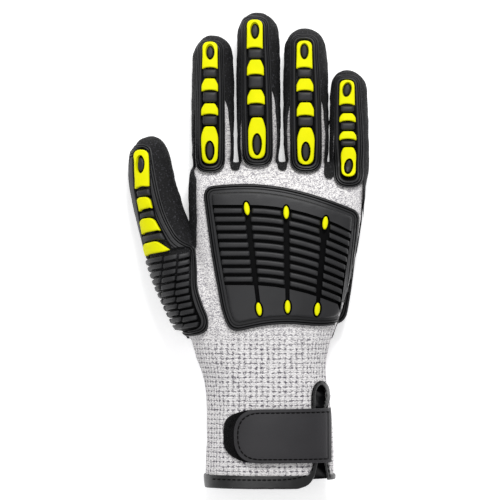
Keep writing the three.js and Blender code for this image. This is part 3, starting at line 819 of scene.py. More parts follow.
# Sizes shared by the moulded guards
GUARD_WIDTH = 18.6
GUARD_FLOOR = 0.35
GUARD_ROUND = 0.93
COLUMN_DROP = 0.8
EAR = 0.6
GUARDS = table(("tip", "base", "shift_tip", "shift_base", "width"), {
    "index": (0.081, -0.21, -0.065, -0.07, 0.92),
    "middle": (0.086, -0.043, -0.086, -0.011, 0.95),
    "ring": (0.07, -0.21, -0.011, 0.022, 0.97),
    "little": (0.075, -0.656, -0.032, 0.0, 0.92),
})
# Where each yellow piece starts and ends, as shares of its guard's length
INSERT_SPANS = table(("tip", "upper", "lower", "base"), {
    "index": ((0.03, 0.234), (0.312, 0.4), (0.495, 0.576), (0.663, 0.934)),
    "middle": ((0.04, 0.232), (0.309, 0.405), (0.502, 0.592), (0.682, 0.946)),
    "ring": ((0.067, 0.268), (0.344, 0.428), (0.511, 0.602), (0.686, 0.943)),
    "little": ((0.07, 0.288), (0.365, 0.433), (0.519, 0.588), (0.656, 0.906)),
})
INSERT_WIDTH = {"index": 8.4, "middle": 8.6, "ring": 8.7, "little": 8.0}
HOLE_LEAN = {"index": 0.0, "middle": 0.0, "ring": 0.0, "little": 0.12}

# Profiles of moulded rubber: steps inward and up from a piece's edge
RIDGES = [
    (0.25, 0.3), (0.5, 0.05), (0.2, -0.9), (0.3, 0.0), (0.2, 1.3),
    (0.5, 0.15), (0.2, -0.95), (0.3, 0.0), (0.2, 1.4), (0.6, 0.15), (0.25, -0.1),
]
TROUGH = [(0.3, -1.9)]
PLATE_BORDER = [
    (0.35, 0.3), (0.7, 0.05), (0.25, -0.55), (0.3, 0.0), (0.25, 0.6), (0.6, 0.05),
    (0.2, -0.35), (0.25, 0.0), (0.2, 0.35), (1.3, 0.1), (0.3, 1.5), (0.4, 0.35), (0.8, 0.15),
]
RIB_CROWN = [(0.25, 0.4), (0.35, 0.25), (0.35, 0.1)]
BLOCK_CROWN = [(0.3, 0.45), (0.5, 0.35), (0.7, 0.2)]
CORE_CROWN = [(0.25, 0.25), (0.4, 0.2)]
INSERT_CROWN = [(0.2, 0.3), (0.3, 0.2)]
GUARD_WALL = 1.5
ROOTED = 0.3
BLOCK_FLOOR = 1.2
BLOCK_INSET = 0.35
CORE_FLOOR = 1.6
INSERT_FLOOR = 2.35
INSERT_SIDE = 1.5
CUT_DEEP = 9
CUT_HIGH = 6
SLICE_ACROSS = 1.3
SLICE_ALONG = 2.0


def raised(name, corners, floor, wall, crown=(), steps=6):
    corners = anticlockwise(list(corners))
    counts = corner_counts(corners, steps)
    return stepped(name, lambda inset: rounded(shrunk(corners, inset), counts), floor, wall, crown)


def oval_points(x, y, width, length, lean=0.0, sides=20):
    points = []
    for k in range(sides):
        turn = 2 * math.pi * k / sides
        side = 0.5 * width * math.cos(turn)
        rise = 0.5 * length * math.sin(turn)
        points.append(Vector((x + side + lean * rise, y + rise)))
    return points


def raised_oval(name, x, y, width, length, floor, wall, crown=(), lean=0.0):
    def ring(inset):
        return oval_points(x, y, width - 2 * inset, length - 2 * inset, lean)

    return stepped(name, ring, floor, wall, crown)


def lay_moulding(piece, node, slot, lay, across=SLICE_ACROSS, along=SLICE_ALONG):
    slice_up(piece, across, along)
    drape(piece, lay)
    finish_piece(piece, node + "_moulding", slot, [node])


def lay_inserts(inserts, lay):
    for node, piece in inserts:
        lay_moulding(piece, node, "yellow_rubber", lay)


def guard_frame(name):
    """Where a finger's guard starts and ends, and its half width."""
    finger = FINGERS[name]
    guard = GUARDS[name]
    return {
        "top": HAND_LENGTH + finger["length"] + guard["tip"] * GUARD_WIDTH + COAT_LIFT - COLUMN_DROP,
        "bottom": HAND_LENGTH + guard["base"] * GUARD_WIDTH - COLUMN_DROP,
        "x_top": finger["x"] - finger["lean"] + guard["shift_tip"] * GUARD_WIDTH,
        "x_bottom": finger["x"] + guard["shift_base"] * GUARD_WIDTH,
        "half": guard["width"] * GUARD_WIDTH / 2,
    }


def guard_corners(box):
    half = box["half"]
    turns = (("x_top", "top", -1), ("x_bottom", "bottom", -1), ("x_bottom", "bottom", 1), ("x_top", "top", 1))
    return [(box[x] + side * half, box[y], GUARD_ROUND * half) for x, y, side in turns]


def insert_corners(kind, x, top, end, half):
    """Corners of a yellow piece: a round tip, a short bar or a long drop, the first two with ears below."""
    feet = [
        (x + half, end - EAR, 0.3),
        (x + half - 1.2, end + 0.1, 0.8),
        (x, end + 0.5, 3),
        (x - half + 1.2, end + 0.1, 0.8),
        (x - half, end - EAR, 0.3),
    ]
    if kind == "tip":
        return [(x - half, top, half), (x + half, top, half), *feet]
    if kind == "base":
        shoulder = mix(top, end, 0.24)
        return [
            (x - 0.6 * half, top, 1.2), (x + 0.6 * half, top, 1.2), (x + half, shoulder, 3),
            (x + half, end, half), (x - half, end, half), (x - half, shoulder, 3),
        ]
    shoulder = mix(top, end, 0.5)
    return [
        (x - half, shoulder, 1.0), (x - 0.62 * half, top, 0.9),
        (x + 0.62 * half, top, 0.9), (x + half, shoulder, 1.0), *feet,
    ]


# Oval holes in the first and last insert of a column: centre and length as shares of the insert
HOLES = {"tip": {"at": 0.4, "length": 0.62}, "base": {"at": 0.65, "length": 0.55}}
HOLE_WIDTH = 5.2
CORE_WIDTH = 3.4
CORE_MARGIN = 2.2


def column_part(parts, kind, x, top, end, half, lean):
    """One yellow insert. Its hole shows a raised core of the guard, which is added to the guard's parts."""
    piece = raised(kind, insert_corners(kind, x, top, end, half), INSERT_FLOOR, INSERT_SIDE, INSERT_CROWN)
    if kind in HOLES:
        hole = HOLES[kind]
        y = mix(top, end, hole["at"])
        length = hole["length"] * (top - end)
        cutter = raised_oval("hole", x, y, HOLE_WIDTH, length, 0, CUT_DEEP, lean=lean)
        combine(piece, cutter, "DIFFERENCE")
        core_length = length - CORE_MARGIN
        parts.append(raised_oval("core", x, y, CORE_WIDTH, core_length, CORE_FLOOR, 1.7, CORE_CROWN, lean))
    return piece


def column_block(x, half, low, high):
    """The black block between two yellow pieces of a column."""
    left = x - half + BLOCK_INSET
    right = x + half - BLOCK_INSET
    corners = [(left, low, 0.7), (right, low, 0.7), (right, high, 1.2), (left, high, 1.2)]
    return raised("block", corners, BLOCK_FLOOR, 1.7, BLOCK_CROWN)


def finger_guard(name):
    """A finger's black guard, with a column of four yellow pieces and the blocks between them."""
    box = guard_frame(name)
    half = INSERT_WIDTH[name] / 2
    parts = [raised(name, guard_corners(box), GUARD_FLOOR, GUARD_WALL, RIDGES + TROUGH, 10)]
    length = box["top"] - box["bottom"]
    inserts = []
    before = None
    for kind, (start, end) in INSERT_SPANS[name].items():
        x = mix(box["x_top"], box["x_bottom"], (start + end) / 2)
        top_y = box["top"] - start * length
        end_y = box["top"] - end * length
        if before:
            parts.append(column_block(mix(before["x"], x, 0.5), half, before["end"] - 0.7, top_y + 0.85))
        insert = column_part(parts, kind, x, top_y, end_y, half, HOLE_LEAN[name])
        inserts.append((f"{name}_insert_{kind}", insert))
        before = {"x": x, "end": end_y}
    lay = on_finger(name)
    lay_moulding(joined(name, parts), f"{name}_guard", "black_rubber", lay)
    lay_inserts(inserts, lay)


for finger_name in FINGERS:
    finger_guard(finger_name)

# Back plate: its edge, then the arcs that its ribs follow
PLATE_X = -12
PLATE_RIGHT = 61.6
PLATE_TOP = 168.7
PLATE_LENGTH = 80.8
ARC_RADIUS = 116
PLATE_CORNERS = [
    (-37.4, 167.6, 7), (-18.6, 169.0, 6), (-5.8, 168.9, 6), (8.6, 167.0, 6), (22.5, 163.6, 6),
    (36.4, 159.0, 6), (50.6, 153.4, 5), (49.2, 138.0, 8), (46.0, 110.6, 8), (42.6, 91.2, 8),
    (29.2, 89.8, 6), (10.3, 91.4, 8), (-2.0, 90.6, 6), (-21.8, 86.4, 8), (-26.4, 97.5, 8), (-32.4, 130.1, 10),
]
# The ribbed field's left and right sides: x at its upper corner and at its lower one, then the two y values
FIELD_LEFT = (-31.9, -25.4, 157.3, 115.6)
FIELD_RIGHT = (46.4, 41.0, 148.5, 110.6)
RIB_COUNT = 9
RIB_PITCH = 4.75
RIB_WIDTH = 3.0
RIB_START = 13.2
RIB_WALL = 2.1
FIELD_FLOOR = 1.4
CHANNEL_HALF = 1.45
OVAL_WIDTH = 3.0
OVAL_LENGTH = 7.2
OVAL_RING = 1.0
OVAL_ROOM = 0.15
OVAL_CROWN = [(0.2, 0.3), (0.35, 0.25), (0.4, 0.15)]
# Ends of the three channels, as shares of the plate's width and length
CHANNELS = table(("top_x", "bottom_x", "top_down", "bottom_down"), {
    "left": (-0.01, 0.099, 0.168, 0.856),
    "middle": (0.344, 0.356, 0.194, 0.84),
    "right": (0.695, 0.623, 0.266, 0.858),
})


def arc_y(x, top):
    return top - max(0, x - PLATE_X) ** 2 / (2 * ARC_RADIUS)


def field_side(side, y):
    upper_x, lower_x, upper_y, lower_y = side
    return mix(upper_x, lower_x, (upper_y - y) / (upper_y - lower_y))


def channel_ends(channel):
    """Upper and lower end of a channel on the plate."""
    ends = []
    for end in ("top", "bottom"):
        x = PLATE_X + channel[end + "_x"] * PLATE_RIGHT
        ends.append(Vector((x, PLATE_TOP - channel[end + "_down"] * PLATE_LENGTH)))
    return ends


def arc_strip(left, right, top, width, count=9):
    """Corners of a strip along an arc of the plate, between two x values."""
    stops = [mix(left, right, k / count) for k in range(count + 1)]
    upper = [Vector((x, arc_y(x, top))) for x in stops]
    return upper + [Vector((x, arc_y(x, top - width))) for x in reversed(stops)]


def arc_bar(left, right, top):
    """A rib along an arc of the plate, with rounded ends."""
    strip = arc_strip(left, right, top, RIB_WIDTH)
    ends = (0, len(strip) // 2 - 1, len(strip) // 2, len(strip) - 1)
    corners = [(point.x, point.y, 1.2 if i in ends else 0) for i, point in enumerate(strip)]
    return raised("rib", corners, FIELD_FLOOR - ROOTED, RIB_WALL, RIB_CROWN, 4)


def rib_parts():
    """Ribs of the plate, cut where they meet a channel or the ring round an oval."""
    ribs = []
    for k in range(RIB_COUNT):
        top = PLATE_TOP - RIB_START - k * RIB_PITCH
        middle = top - RIB_WIDTH / 2
        stops = [(field_side(FIELD_LEFT, middle) + 0.3, 0)]
        for channel in CHANNELS.values():
            high, low = channel_ends(channel)
            level = arc_y(mix(high.x, low.x, 0.4), middle)
            x = mix(high.x, low.x, (high.y - level) / (high.y - low.y))
            near_oval = abs(level - high.y) < OVAL_LENGTH / 2 + OVAL_RING + 0.9
            stops.append((x, OVAL_WIDTH / 2 + OVAL_RING + OVAL_ROOM if near_oval else CHANNEL_HALF))
        stops.append((field_side(FIELD_RIGHT, arc_y(44, middle)) - 0.3, 0))
        for (left_x, left_gap), (right_x, right_gap) in zip(stops, stops[1:]):
            ribs.append(arc_bar(left_x + left_gap, right_x - right_gap, top))
    return ribs


def back_plate():
    """The knuckle plate: a recessed field of ribs with three channels, each with an oval at either end."""
    plate = raised("plate", PLATE_CORNERS, GUARD_FLOOR, 1.3, PLATE_BORDER, 5)
    top = PLATE_TOP - RIB_START + RIB_PITCH - RIB_WIDTH
    height = RIB_COUNT * RIB_PITCH + RIB_PITCH - RIB_WIDTH
    field = arc_strip(FIELD_LEFT[0], FIELD_RIGHT[0], top, height)
    for point in field:
        point.x = min(max(point.x, field_side(FIELD_LEFT, point.y)), field_side(FIELD_RIGHT, point.y))
    combine(plate, pull_up(outline("field", field, FIELD_FLOOR), CUT_HIGH), "DIFFERENCE")
    inserts = []
    for side, channel in CHANNELS.items():
        high, low = channel_ends(channel)
        lean = (high.x - low.x) / (high.y - low.y)
        half = CHANNEL_HALF - 0.25
        groove = [
            Vector((high.x - half, high.y)), Vector((high.x + half, high.y)),
            Vector((low.x + half, low.y)), Vector((low.x - half, low.y)),
        ]
        combine(plate, pull_up(outline("channel", groove, FIELD_FLOOR - 0.2), CUT_HIGH), "DIFFERENCE")
        for end, (x, y) in (("upper", high), ("lower", low)):
            width = OVAL_WIDTH + 2 * OVAL_RING
            length = OVAL_LENGTH + 2 * OVAL_RING
            pocket = raised_oval("pocket", x, y, width, length, FIELD_FLOOR, CUT_HIGH, lean=lean)
            combine(plate, pocket, "DIFFERENCE")
            oval = raised_oval("oval", x, y, OVAL_WIDTH, OVAL_LENGTH, INSERT_FLOOR, 1.6, OVAL_CROWN, lean)
            inserts.append((f"plate_insert_{side}_{end}", oval))
    plate = joined("plate", [plate, *rib_parts()])
    lay_moulding(plate, "back_plate", "black_rubber", from_above, 1.8, 2.2)
    lay_inserts(inserts, from_above)


back_plate()

# Thumb guard: its right edge and lower end as seen from above, and its left edge, which rolls over the side
THUMB_EDGE = [
    (-76.0, 190.6, 6), (-72.0, 192.4, 3), (-66.0, 190.8, 4), (-63.8, 176.1, 8), (-60.6, 161.0, 8),
    (-56.9, 149.5, 8), (-50.6, 138.6, 5), (-41.2, 134.2, 3), (-40.2, 123.0, 6), (-40.2, 111.5, 5),
    (-37.4, 102.5, 6), (-33.6, 93.8, 5), (-34.6, 86.4, 5), (-44.0, 83.4, 5), (-50.0, 87.4, 4),
    (-56.0, 93.0, 2), (-65.5, 101.0, 3), (-72.6, 108.5, 6), (-77.9, 127.7, 8), (-82.2, 153.4, 8),
    (-84.0, 176.0, 8), (-82.5, 188.0, 6),
]
THUMB_TROUGH = [
    (-72.0, 191.0, 3), (-67.0, 190.4, 2.5), (-66.0, 184.0, 4), (-65.8, 169.0, 3), (-64.9, 162.4, 3),
    (-62.6, 151.2, 3), (-59.0, 144.3, 3), (-53.6, 133.6, 1), (-60.0, 131.6, 1), (-69.9, 129.4, 0.5),
    (-70.9, 135.7, 2), (-71.8, 149.6, 4), (-73.2, 161.8, 4), (-74.2, 168.5, 4), (-75.2, 182.9, 4),
    (-75.0, 188.5, 3),
]
THUMB_INSERTS = {
    "tip": [
        (-74.2, 189.4, 4), (-67.2, 189.4, 4), (-66.5, 169.2, 0.3), (-67.7, 169.0, 0.6), (-70.0, 169.4, 2),
        (-72.4, 168.4, 0.8), (-73.2, 167.6, 0.3),
    ],
    "upper": [
        (-72.2, 161.8, 1), (-70.9, 163.0, 1.4), (-67.4, 163.2, 1.6), (-65.8, 161.6, 1.4), (-64.7, 156.8, 0.3),
        (-66.0, 157.3, 0.6), (-70.4, 156.2, 0.8), (-71.2, 155.0, 0.3),
    ],
    "lower": [
        (-70.8, 149.4, 1), (-69.5, 151.0, 1.4), (-65.6, 151.6, 1.6), (-63.4, 150.3, 1.4), (-60.2, 144.4, 0.3),
        (-61.6, 144.7, 0.6), (-68.7, 143.3, 0.8), (-69.7, 142.2, 0.3),
    ],
    "base": [
        (-70.1, 134.8, 1.4), (-68.6, 137.0, 1.6), (-62.4, 138.6, 1.6), (-60.2, 137.4, 1.4),
        (-55.0, 133.8, 0.3), (-57.0, 133.0, 0.6), (-68.1, 131.0, 0.8), (-69.6, 130.2, 0.3),
    ],
}
THUMB_BLOCKS = [
    [
        (-72.9, 166.6, 0.8), (-66.5, 168.0, 0.8), (-65.7, 163.9, 1), (-67.4, 164.1, 1), (-71.4, 163.8, 1),
        (-72.2, 162.9, 1),
    ],
    [
        (-71.2, 154.0, 0.8), (-64.5, 155.9, 0.8), (-63.4, 151.9, 1), (-65.4, 152.4, 1), (-69.7, 151.8, 1),
        (-70.7, 150.6, 1),
    ],
    [
        (-70.4, 141.2, 0.8), (-59.8, 143.4, 0.8), (-57.4, 139.2, 1), (-62.2, 139.5, 1), (-68.7, 138.0, 1),
        (-69.9, 136.3, 1),
    ],
]
PAD_RECESS = [
    (-86.0, 122.0, 1), (-69.8, 129.0, 1), (-58.7, 132.0, 3), (-50.9, 134.0, 3), (-43.7, 134.2, 2),
    (-43.4, 124.5, 5), (-43.6, 110.6, 5), (-41.4, 102.0, 4), (-37.4, 93.2, 2), (-38.0, 88.6, 3),
    (-44.0, 86.4, 3), (-51.0, 86.0, 3), (-64.0, 94.0, 1), (-80.0, 94.0, 1),
]
# Right edges of the three columns of ribs on the pad, from the top down
PAD_COLUMNS = [
    [(-58.4, 132.9), (-58.9, 110.6), (-55.3, 99.5), (-52.0, 91.7)],
    [(-50.9, 134.6), (-51.7, 110.6), (-48.1, 99.5), (-45.3, 91.7)],
    [(-43.9, 134.6), (-44.2, 110.6), (-41.9, 102.0), (-38.6, 93.2)],
]
PAD_RIBS = 11
PAD_PITCH = 4.0
PAD_RIB_WIDTH = 2.7
PAD_RIB_WALL = 2.9
PAD_TILT = math.tan(math.radians(13))
PAD_TOP_X = -47.0
PAD_TOP_Y = 131.6
PAD_GAP = 0.4
PAD_FLOOR = 1.3
PAD_STAGGER = -0.5
PAD_TAPER = 0.72
PAD_CROWN = [(0.2, 0.3), (0.5, 0.2)]
# How far left the ribs of the pad reach, once rolled over the thumb's side
ROLL_LOW = -68.0
ROLL_HIGH = -79.5
ROLL_START = 98
ROLL_SPAN = 30
# Two more ridges inside the edge's, and how much lower the thumb's column sits than its guard
THUMB_RIDGES = [
    (0.6, 0.1), (0.2, -0.9), (0.3, 0.0), (0.2, 0.9),
    (0.7, 0.05), (0.2, -0.9), (0.3, 0.0), (0.2, 0.9),
]
THUMB_CORE_AT = (-70.8, 181.4)
THUMB_DROP = 1.5


def lowered(corners):
    return [(x, y - THUMB_DROP, radius) for x, y, radius in corners]


def along_path(path, y):
    """The x of a path that runs downwards, at a y."""
    for (x0, y0), (x1, y1) in zip(path, path[1:]):
        if y >= y1:
            return mix(x0, x1, (y0 - y) / (y0 - y1))
    return path[-1][0]


def pad_parts():
    """Ribs of the pad, in rows that slope across three columns; the first column rolls over the side."""
    ribs = []
    for row in range(PAD_RIBS):
        row_y = PAD_TOP_Y - row * PAD_PITCH
        left = mix(ROLL_LOW, ROLL_HIGH, min(max((row_y - ROLL_START) / ROLL_SPAN, 0), 1))
        taper = PAD_TAPER
        for column, path in enumerate(PAD_COLUMNS):
            edge = along_path(path, row_y)
            right = edge - PAD_GAP
            corners = []
            for x, rise in ((left, 0), (right, 0), (right, -PAD_RIB_WIDTH), (left, -taper * PAD_RIB_WIDTH)):
                corners.append((x, row_y + rise + PAD_STAGGER * column + (x - PAD_TOP_X) * PAD_TILT, 0.4))
            ribs.append(raised("rib", corners, PAD_FLOOR - ROOTED, PAD_RIB_WALL, PAD_CROWN, 3))
            left = edge + PAD_GAP
            taper = 1
    return ribs


def thumb_guard():
    """The thumb's guard: its column of yellow pieces in a trough, and the ribbed pad on its heel."""
    body = raised("thumb_guard", THUMB_EDGE, GUARD_FLOOR, GUARD_WALL, RIDGES + THUMB_RIDGES, 5)
    combine(body, raised("trough", lowered(THUMB_TROUGH), 1.4, CUT_HIGH, (), 4), "DIFFERENCE")
    combine(body, raised("recess", PAD_RECESS, PAD_FLOOR, CUT_HIGH, (), 4), "DIFFERENCE")
    parts = [body, *pad_parts()]
    for corners in THUMB_BLOCKS:
        parts.append(raised("block", lowered(corners), BLOCK_FLOOR, 1.9, BLOCK_CROWN, 4))
    core_x, core_y = THUMB_CORE_AT
    core_y -= THUMB_DROP
    parts.append(raised_oval("core", core_x, core_y, 2.7, 7.4, CORE_FLOOR, 1.9, CORE_CROWN))
    inserts = []
    for kind, corners in THUMB_INSERTS.items():
        piece = raised(kind, lowered(corners), INSERT_FLOOR, INSERT_SIDE, INSERT_CROWN, 4)
        if kind == "tip":
            combine(piece, raised_oval("hole", core_x, core_y, 4.2, 10.4, 0, CUT_DEEP), "DIFFERENCE")
        inserts.append((f"thumb_insert_{kind}", piece))
    lay_moulding(joined("thumb_guard", parts), "thumb_guard", "black_rubber", on_thumb)
    lay_inserts(inserts, on_thumb)


thumb_guard()

# Cuff slit: wide at its mouth, drawn in by the strap, with a rounded loop at its top
SLIT_X = 28.5
SLIT_LENGTH = 57.4
SLIT_MOUTH = 7.2
SLIT_WAIST = 2.2
WAIST_X = 26.6
HEM_RISE = 4.6
SLIT_LOOP = 6.2
HEM_CORNER = 13
HEM_BAND = 7.6
SLIT_BAND = 2.6
SLIT_FLOOR = 21.6
STRAP_Y = 29.3
STRAP_WIDTH = 29.8
EDGE_ROOM = CLEARANCE + BINDING_WALL


def slit_corners(grow):
    """Corners of the slit, grown by a margin: its mouth, its waist under the strap and its arched top."""
    waist_y = STRAP_Y - 0.4 * STRAP_WIDTH
    left = SLIT_X - SLIT_MOUTH / 2 - grow
    right = SLIT_X + SLIT_MOUTH / 2 + grow
    waist = SLIT_WAIST / 2 + grow
    loop = SLIT_LOOP / 2 + grow
    bend_y = STRAP_Y + 0.72 * STRAP_WIDTH
    rise = SLIT_LENGTH + grow - bend_y
    arch = [(math.cos(turn), math.sin(turn)) for turn in [math.pi * k / 8 for k in range(9)]]
    return [
        (left - HEM_CORNER, -10, 0), (right, -10, 0), (right, 0.3 * HEM_CORNER, 3),
        (SLIT_X + waist, waist_y, 3), (WAIST_X + waist, waist_y + 4, 3), (WAIST_X + waist, STRAP_Y + 8, 4),
        *[(SLIT_X + loop * side, bend_y + rise * up, 2) for side, up in arch],
        (WAIST_X - waist, STRAP_Y + 8, 4), (WAIST_X - waist, waist_y + 4, 3), (SLIT_X - waist, waist_y, 3),
        (left, 0.5 * HEM_CORNER + grow, 4), (left - 0.26 * HEM_CORNER, 0.14 * HEM_CORNER + grow, 5),
        (left - HEM_CORNER, grow - 1, 0),
    ]


def slit_cutter(grow, floor=SLIT_FLOOR):
    """What is cut from the cuff: the slit in its back, and the hem's rise on the little finger's side."""
    left = SLIT_X - SLIT_MOUTH / 2 - grow
    rise = [
        (left - HEM_CORNER, grow - 1, 0), (left - HEM_CORNER, -12, 0), (60, -12, 0),
        (60, HEM_RISE + grow, 0), (left, HEM_RISE + grow, 4),
        (left - 0.26 * HEM_CORNER, 0.14 * HEM_CORNER + grow, 5),
    ]
    cutter = raised("slit", slit_corners(grow), floor, 40)
    combine(cutter, raised("hem_rise", rise, -12, 80), "UNION")
    return cutter


def cut_across(piece, y, keep_far):
    """Cuts the piece at a y and clears one side of the cut."""
    edit(piece)
    sides = {"clear_inner": keep_far, "clear_outer": not keep_far}
    bpy.ops.mesh.bisect(plane_co=(0, y, 0), plane_no=(0, 1, 0), **sides)
    done()


def moved_out(piece, level):
    normals = [vertex.normal.copy() for vertex in piece.data.vertices]
    for vertex, normal in zip(piece.data.vertices, normals):
        vertex.co += normal * level
    return piece


def shell(name, level, wall, near=None, far=None):
    """A wall cut from the hand's form, from a level inwards by the wall's thickness."""
    piece = moved_out(copy_of(form, name), level)
    if near is not None:
        cut_across(piece, near, True)
    if far is not None:
        cut_across(piece, far, False)
    modify(piece, "SOLIDIFY", thickness=wall, offset=-1)
    return piece


def block(name, low, high):
    bpy.ops.mesh.primitive_cube_add(size=1)
    piece = bpy.context.object
    piece.name = name
    for vertex in piece.data.vertices:
        vertex.co = [mix(low[i], high[i], vertex.co[i] + 0.5) for i in range(3)]
    return piece


def weave_map(piece):
    """Writes where each place is on the knit: across, and along. On a side wall, height stands for across."""
    attribute = piece.data.attributes.new("weave", "FLOAT_VECTOR", "POINT")
    for vertex, spot in zip(piece.data.vertices, attribute.data):
        x, y, z = vertex.co
        normal = vertex.normal
        steepness = smooth_step(0.35, 0.8, abs(normal.x))
        across = x + math.copysign(steepness * (CUFF_LIFT + CUFF_HEIGHT - z) * 0.6, x)
        spot.vector = (across, y, 0)


# Knit shell
knit = shell("knit", 0, KNIT_WALL, near=EDGE_ROOM)
combine(knit, slit_cutter(EDGE_ROOM), "DIFFERENCE")
weave_map(knit)
finish_piece(knit, "knit_shell_cloth", "knit_yarn", ["knit_shell"], angle=60)

# Coating: where it lies, as side views of the fingers and as plan shapes
COAT_SIDE = 11
COAT_HEEL = 83
COAT_PLANS = [
    [(-42.2, 112.3), (-42.2, 194.6), (-110, 214.0), (-110, 112.3)],
    [(-41.0, 134.0), (-40.6, 150.0), (-41.2, 172.0), (-44.0, 178.0), (-54.0, 178.0), (-54.0, 134.0)],
    [(51.4, 216.0), (51.8, 190.0), (52.6, 160.0), (51.6, 136.0), (64.0, 136.0), (64.0, 216.0)],
]
# How far along a finger and how far up its side the coating's edge runs, as shares
COAT_EDGE = [(0.62, 1.05), (0.45, 0.84), (0.25, 0.7), (0.0, 0.55)]
CROTCHES = [(-19.0, 177.0), (7.2, 177.0), (33.2, 172.0)]
CRINKLE_SIZE = 7.0
CRINKLE_DEPTH = 1.0


def finger_coat(finger):
    """The coated part of a finger in side view: low at the crotch, and over the whole fingertip."""
    tip = HAND_LENGTH + finger["length"] + 20
    edge = [
        (HAND_LENGTH + along * finger["length"], COAT_LIFT + up * finger["height"])
        for along, up in COAT_EDGE
    ]
    profile = [
        (HAND_LENGTH - FINGER_ROOT, -10), (tip, -10), (tip, COAT_LIFT + 1.7 * finger["height"]), *edge,
        (HAND_LENGTH - FINGER_ROOT, COAT_SIDE),
    ]
    half = finger["width"] / 2 + 3
    piece = pull_up(outline("finger_coat", [Vector(point) for point in profile]), 2 * half)
    for vertex in piece.data.vertices:
        along, up, side = vertex.co
        vertex.co = (finger["x"] - half + side, along, up)
    edit(piece)
    bpy.ops.mesh.normals_make_consistent(inside=False)
    done()
    return piece


coat = shell("coat", CLEARANCE + COAT_WALL, COAT_WALL)
region = block("region", (-90, COAT_HEEL, -10), (90, HAND_LENGTH + 10, COAT_SIDE))
for finger in FINGERS.values():
    combine(region, finger_coat(finger), "UNION")
for plan in COAT_PLANS:
    combine(region, pull_up(outline("plan", [Vector(point) for point in plan], -10), 100), "UNION")
for x, low_y in CROTCHES:
    web = [
        (x - 1.6, low_y, 1.5), (x + 1.6, low_y, 1.5), (x + 2.7, low_y + 3, 3), (x + 1.6, low_y + 24, 0),
        (x - 1.6, low_y + 24, 0), (x - 2.7, low_y + 3, 3),
    ]
    combine(region, raised("web", web, -10, 100), "UNION")
combine(coat, region, "INTERSECT")
crinkle = cloud_texture("crinkle", CRINKLE_SIZE)
modify(coat, "DISPLACE", texture=crinkle, texture_coords="LOCAL", strength=CRINKLE_DEPTH, mid_level=0.25)
rest_on_floor(coat)
finish_piece(coat, "palm_coating_skin", "sandy_coating", ["palm_coating"], angle=60)

# Binding folded over the hem and over the slit's edges
binding = shell("binding", EDGE_ROOM, 2 * EDGE_ROOM + KNIT_WALL, near=0, far=SLIT_LENGTH + 10)
band = block("band", (-90, -1, -10), (90, HEM_BAND, 90))
combine(band, slit_cutter(SLIT_BAND, SLIT_FLOOR + CLEARANCE), "UNION")
combine(binding, band, "INTERSECT")
combine(binding, slit_cutter(0), "DIFFERENCE")
knit_room = shell("knit_room", CLEARANCE, 2 * CLEARANCE + KNIT_WALL, near=BINDING_WALL, far=SLIT_LENGTH + 20)
combine(knit_room, slit_cutter(BINDING_WALL), "DIFFERENCE")
combine(binding, knit_room, "DIFFERENCE")
modify(binding, "REMESH", mode="VOXEL", voxel_size=0.5, adaptivity=0)
modify(binding, "SMOOTH", factor=0.5, iterations=3)
finish_piece(binding, "cuff_binding_tape", "black_fabric", ["cuff_binding"], angle=50)

# Gusset: a thin sheet behind the slit, gathered in folds
GUSSET_LAP = 3.0
GUSSET_LEVEL = -3.9
GUSSET_WALL = 1.0
FOLD_LENGTH = 7.0
FOLD_DEPTH = 0.7
gusset_left = SLIT_X - SLIT_LOOP / 2 - GUSSET_LAP
gusset_right = SLIT_X + SLIT_LOOP / 2
gusset_corners = [
    (gusset_left, HEM_RISE + 0.6, 1), (gusset_right + 0.6, HEM_RISE + 0.6, 1),
    (gusset_right - 0.8, SLIT_LENGTH + 0.5, 4), (gusset_left, SLIT_LENGTH + GUSSET_LAP, 4),
]
gusset = raised("gusset", gusset_corners, GUSSET_LEVEL, GUSSET_WALL)
slice_up(gusset, 0.9, 1.0)
for vertex in gusset.data.vertices:
    turn = 2 * math.pi * (vertex.co.y + 0.45 * vertex.co.x) / FOLD_LENGTH
    vertex.co.z += FOLD_DEPTH * math.sin(turn)
drape(gusset, from_above)
finish_piece(gusset, "slit_gusset_fold", "black_fabric", ["slit_gusset"], gusset_finish, 60)

# Patch of loop pile under the strap, with loose fibres
PATCH_WALL = 0.9
PATCH_CORNERS = [
    (8, 43.1, 1), (-13, 43.9, 3), (-25.6, 39.5, 9), (-25.6, 20.5, 9), (-14.5, 14.8, 4), (8, 15.5, 1),
]
FIBRES = 1500
FIBRE_WIDTH = 0.12
# The fibres' ring: its centre's x, and its reach across and along
FIBRE_RING = (-12, 13.0, 14.4)
patch = raised("patch", PATCH_CORNERS, CLEARANCE, PATCH_WALL - 0.15, [(0.4, 0.15)])
slice_up(patch, 1.5, 1.5)
drape(patch, from_above)


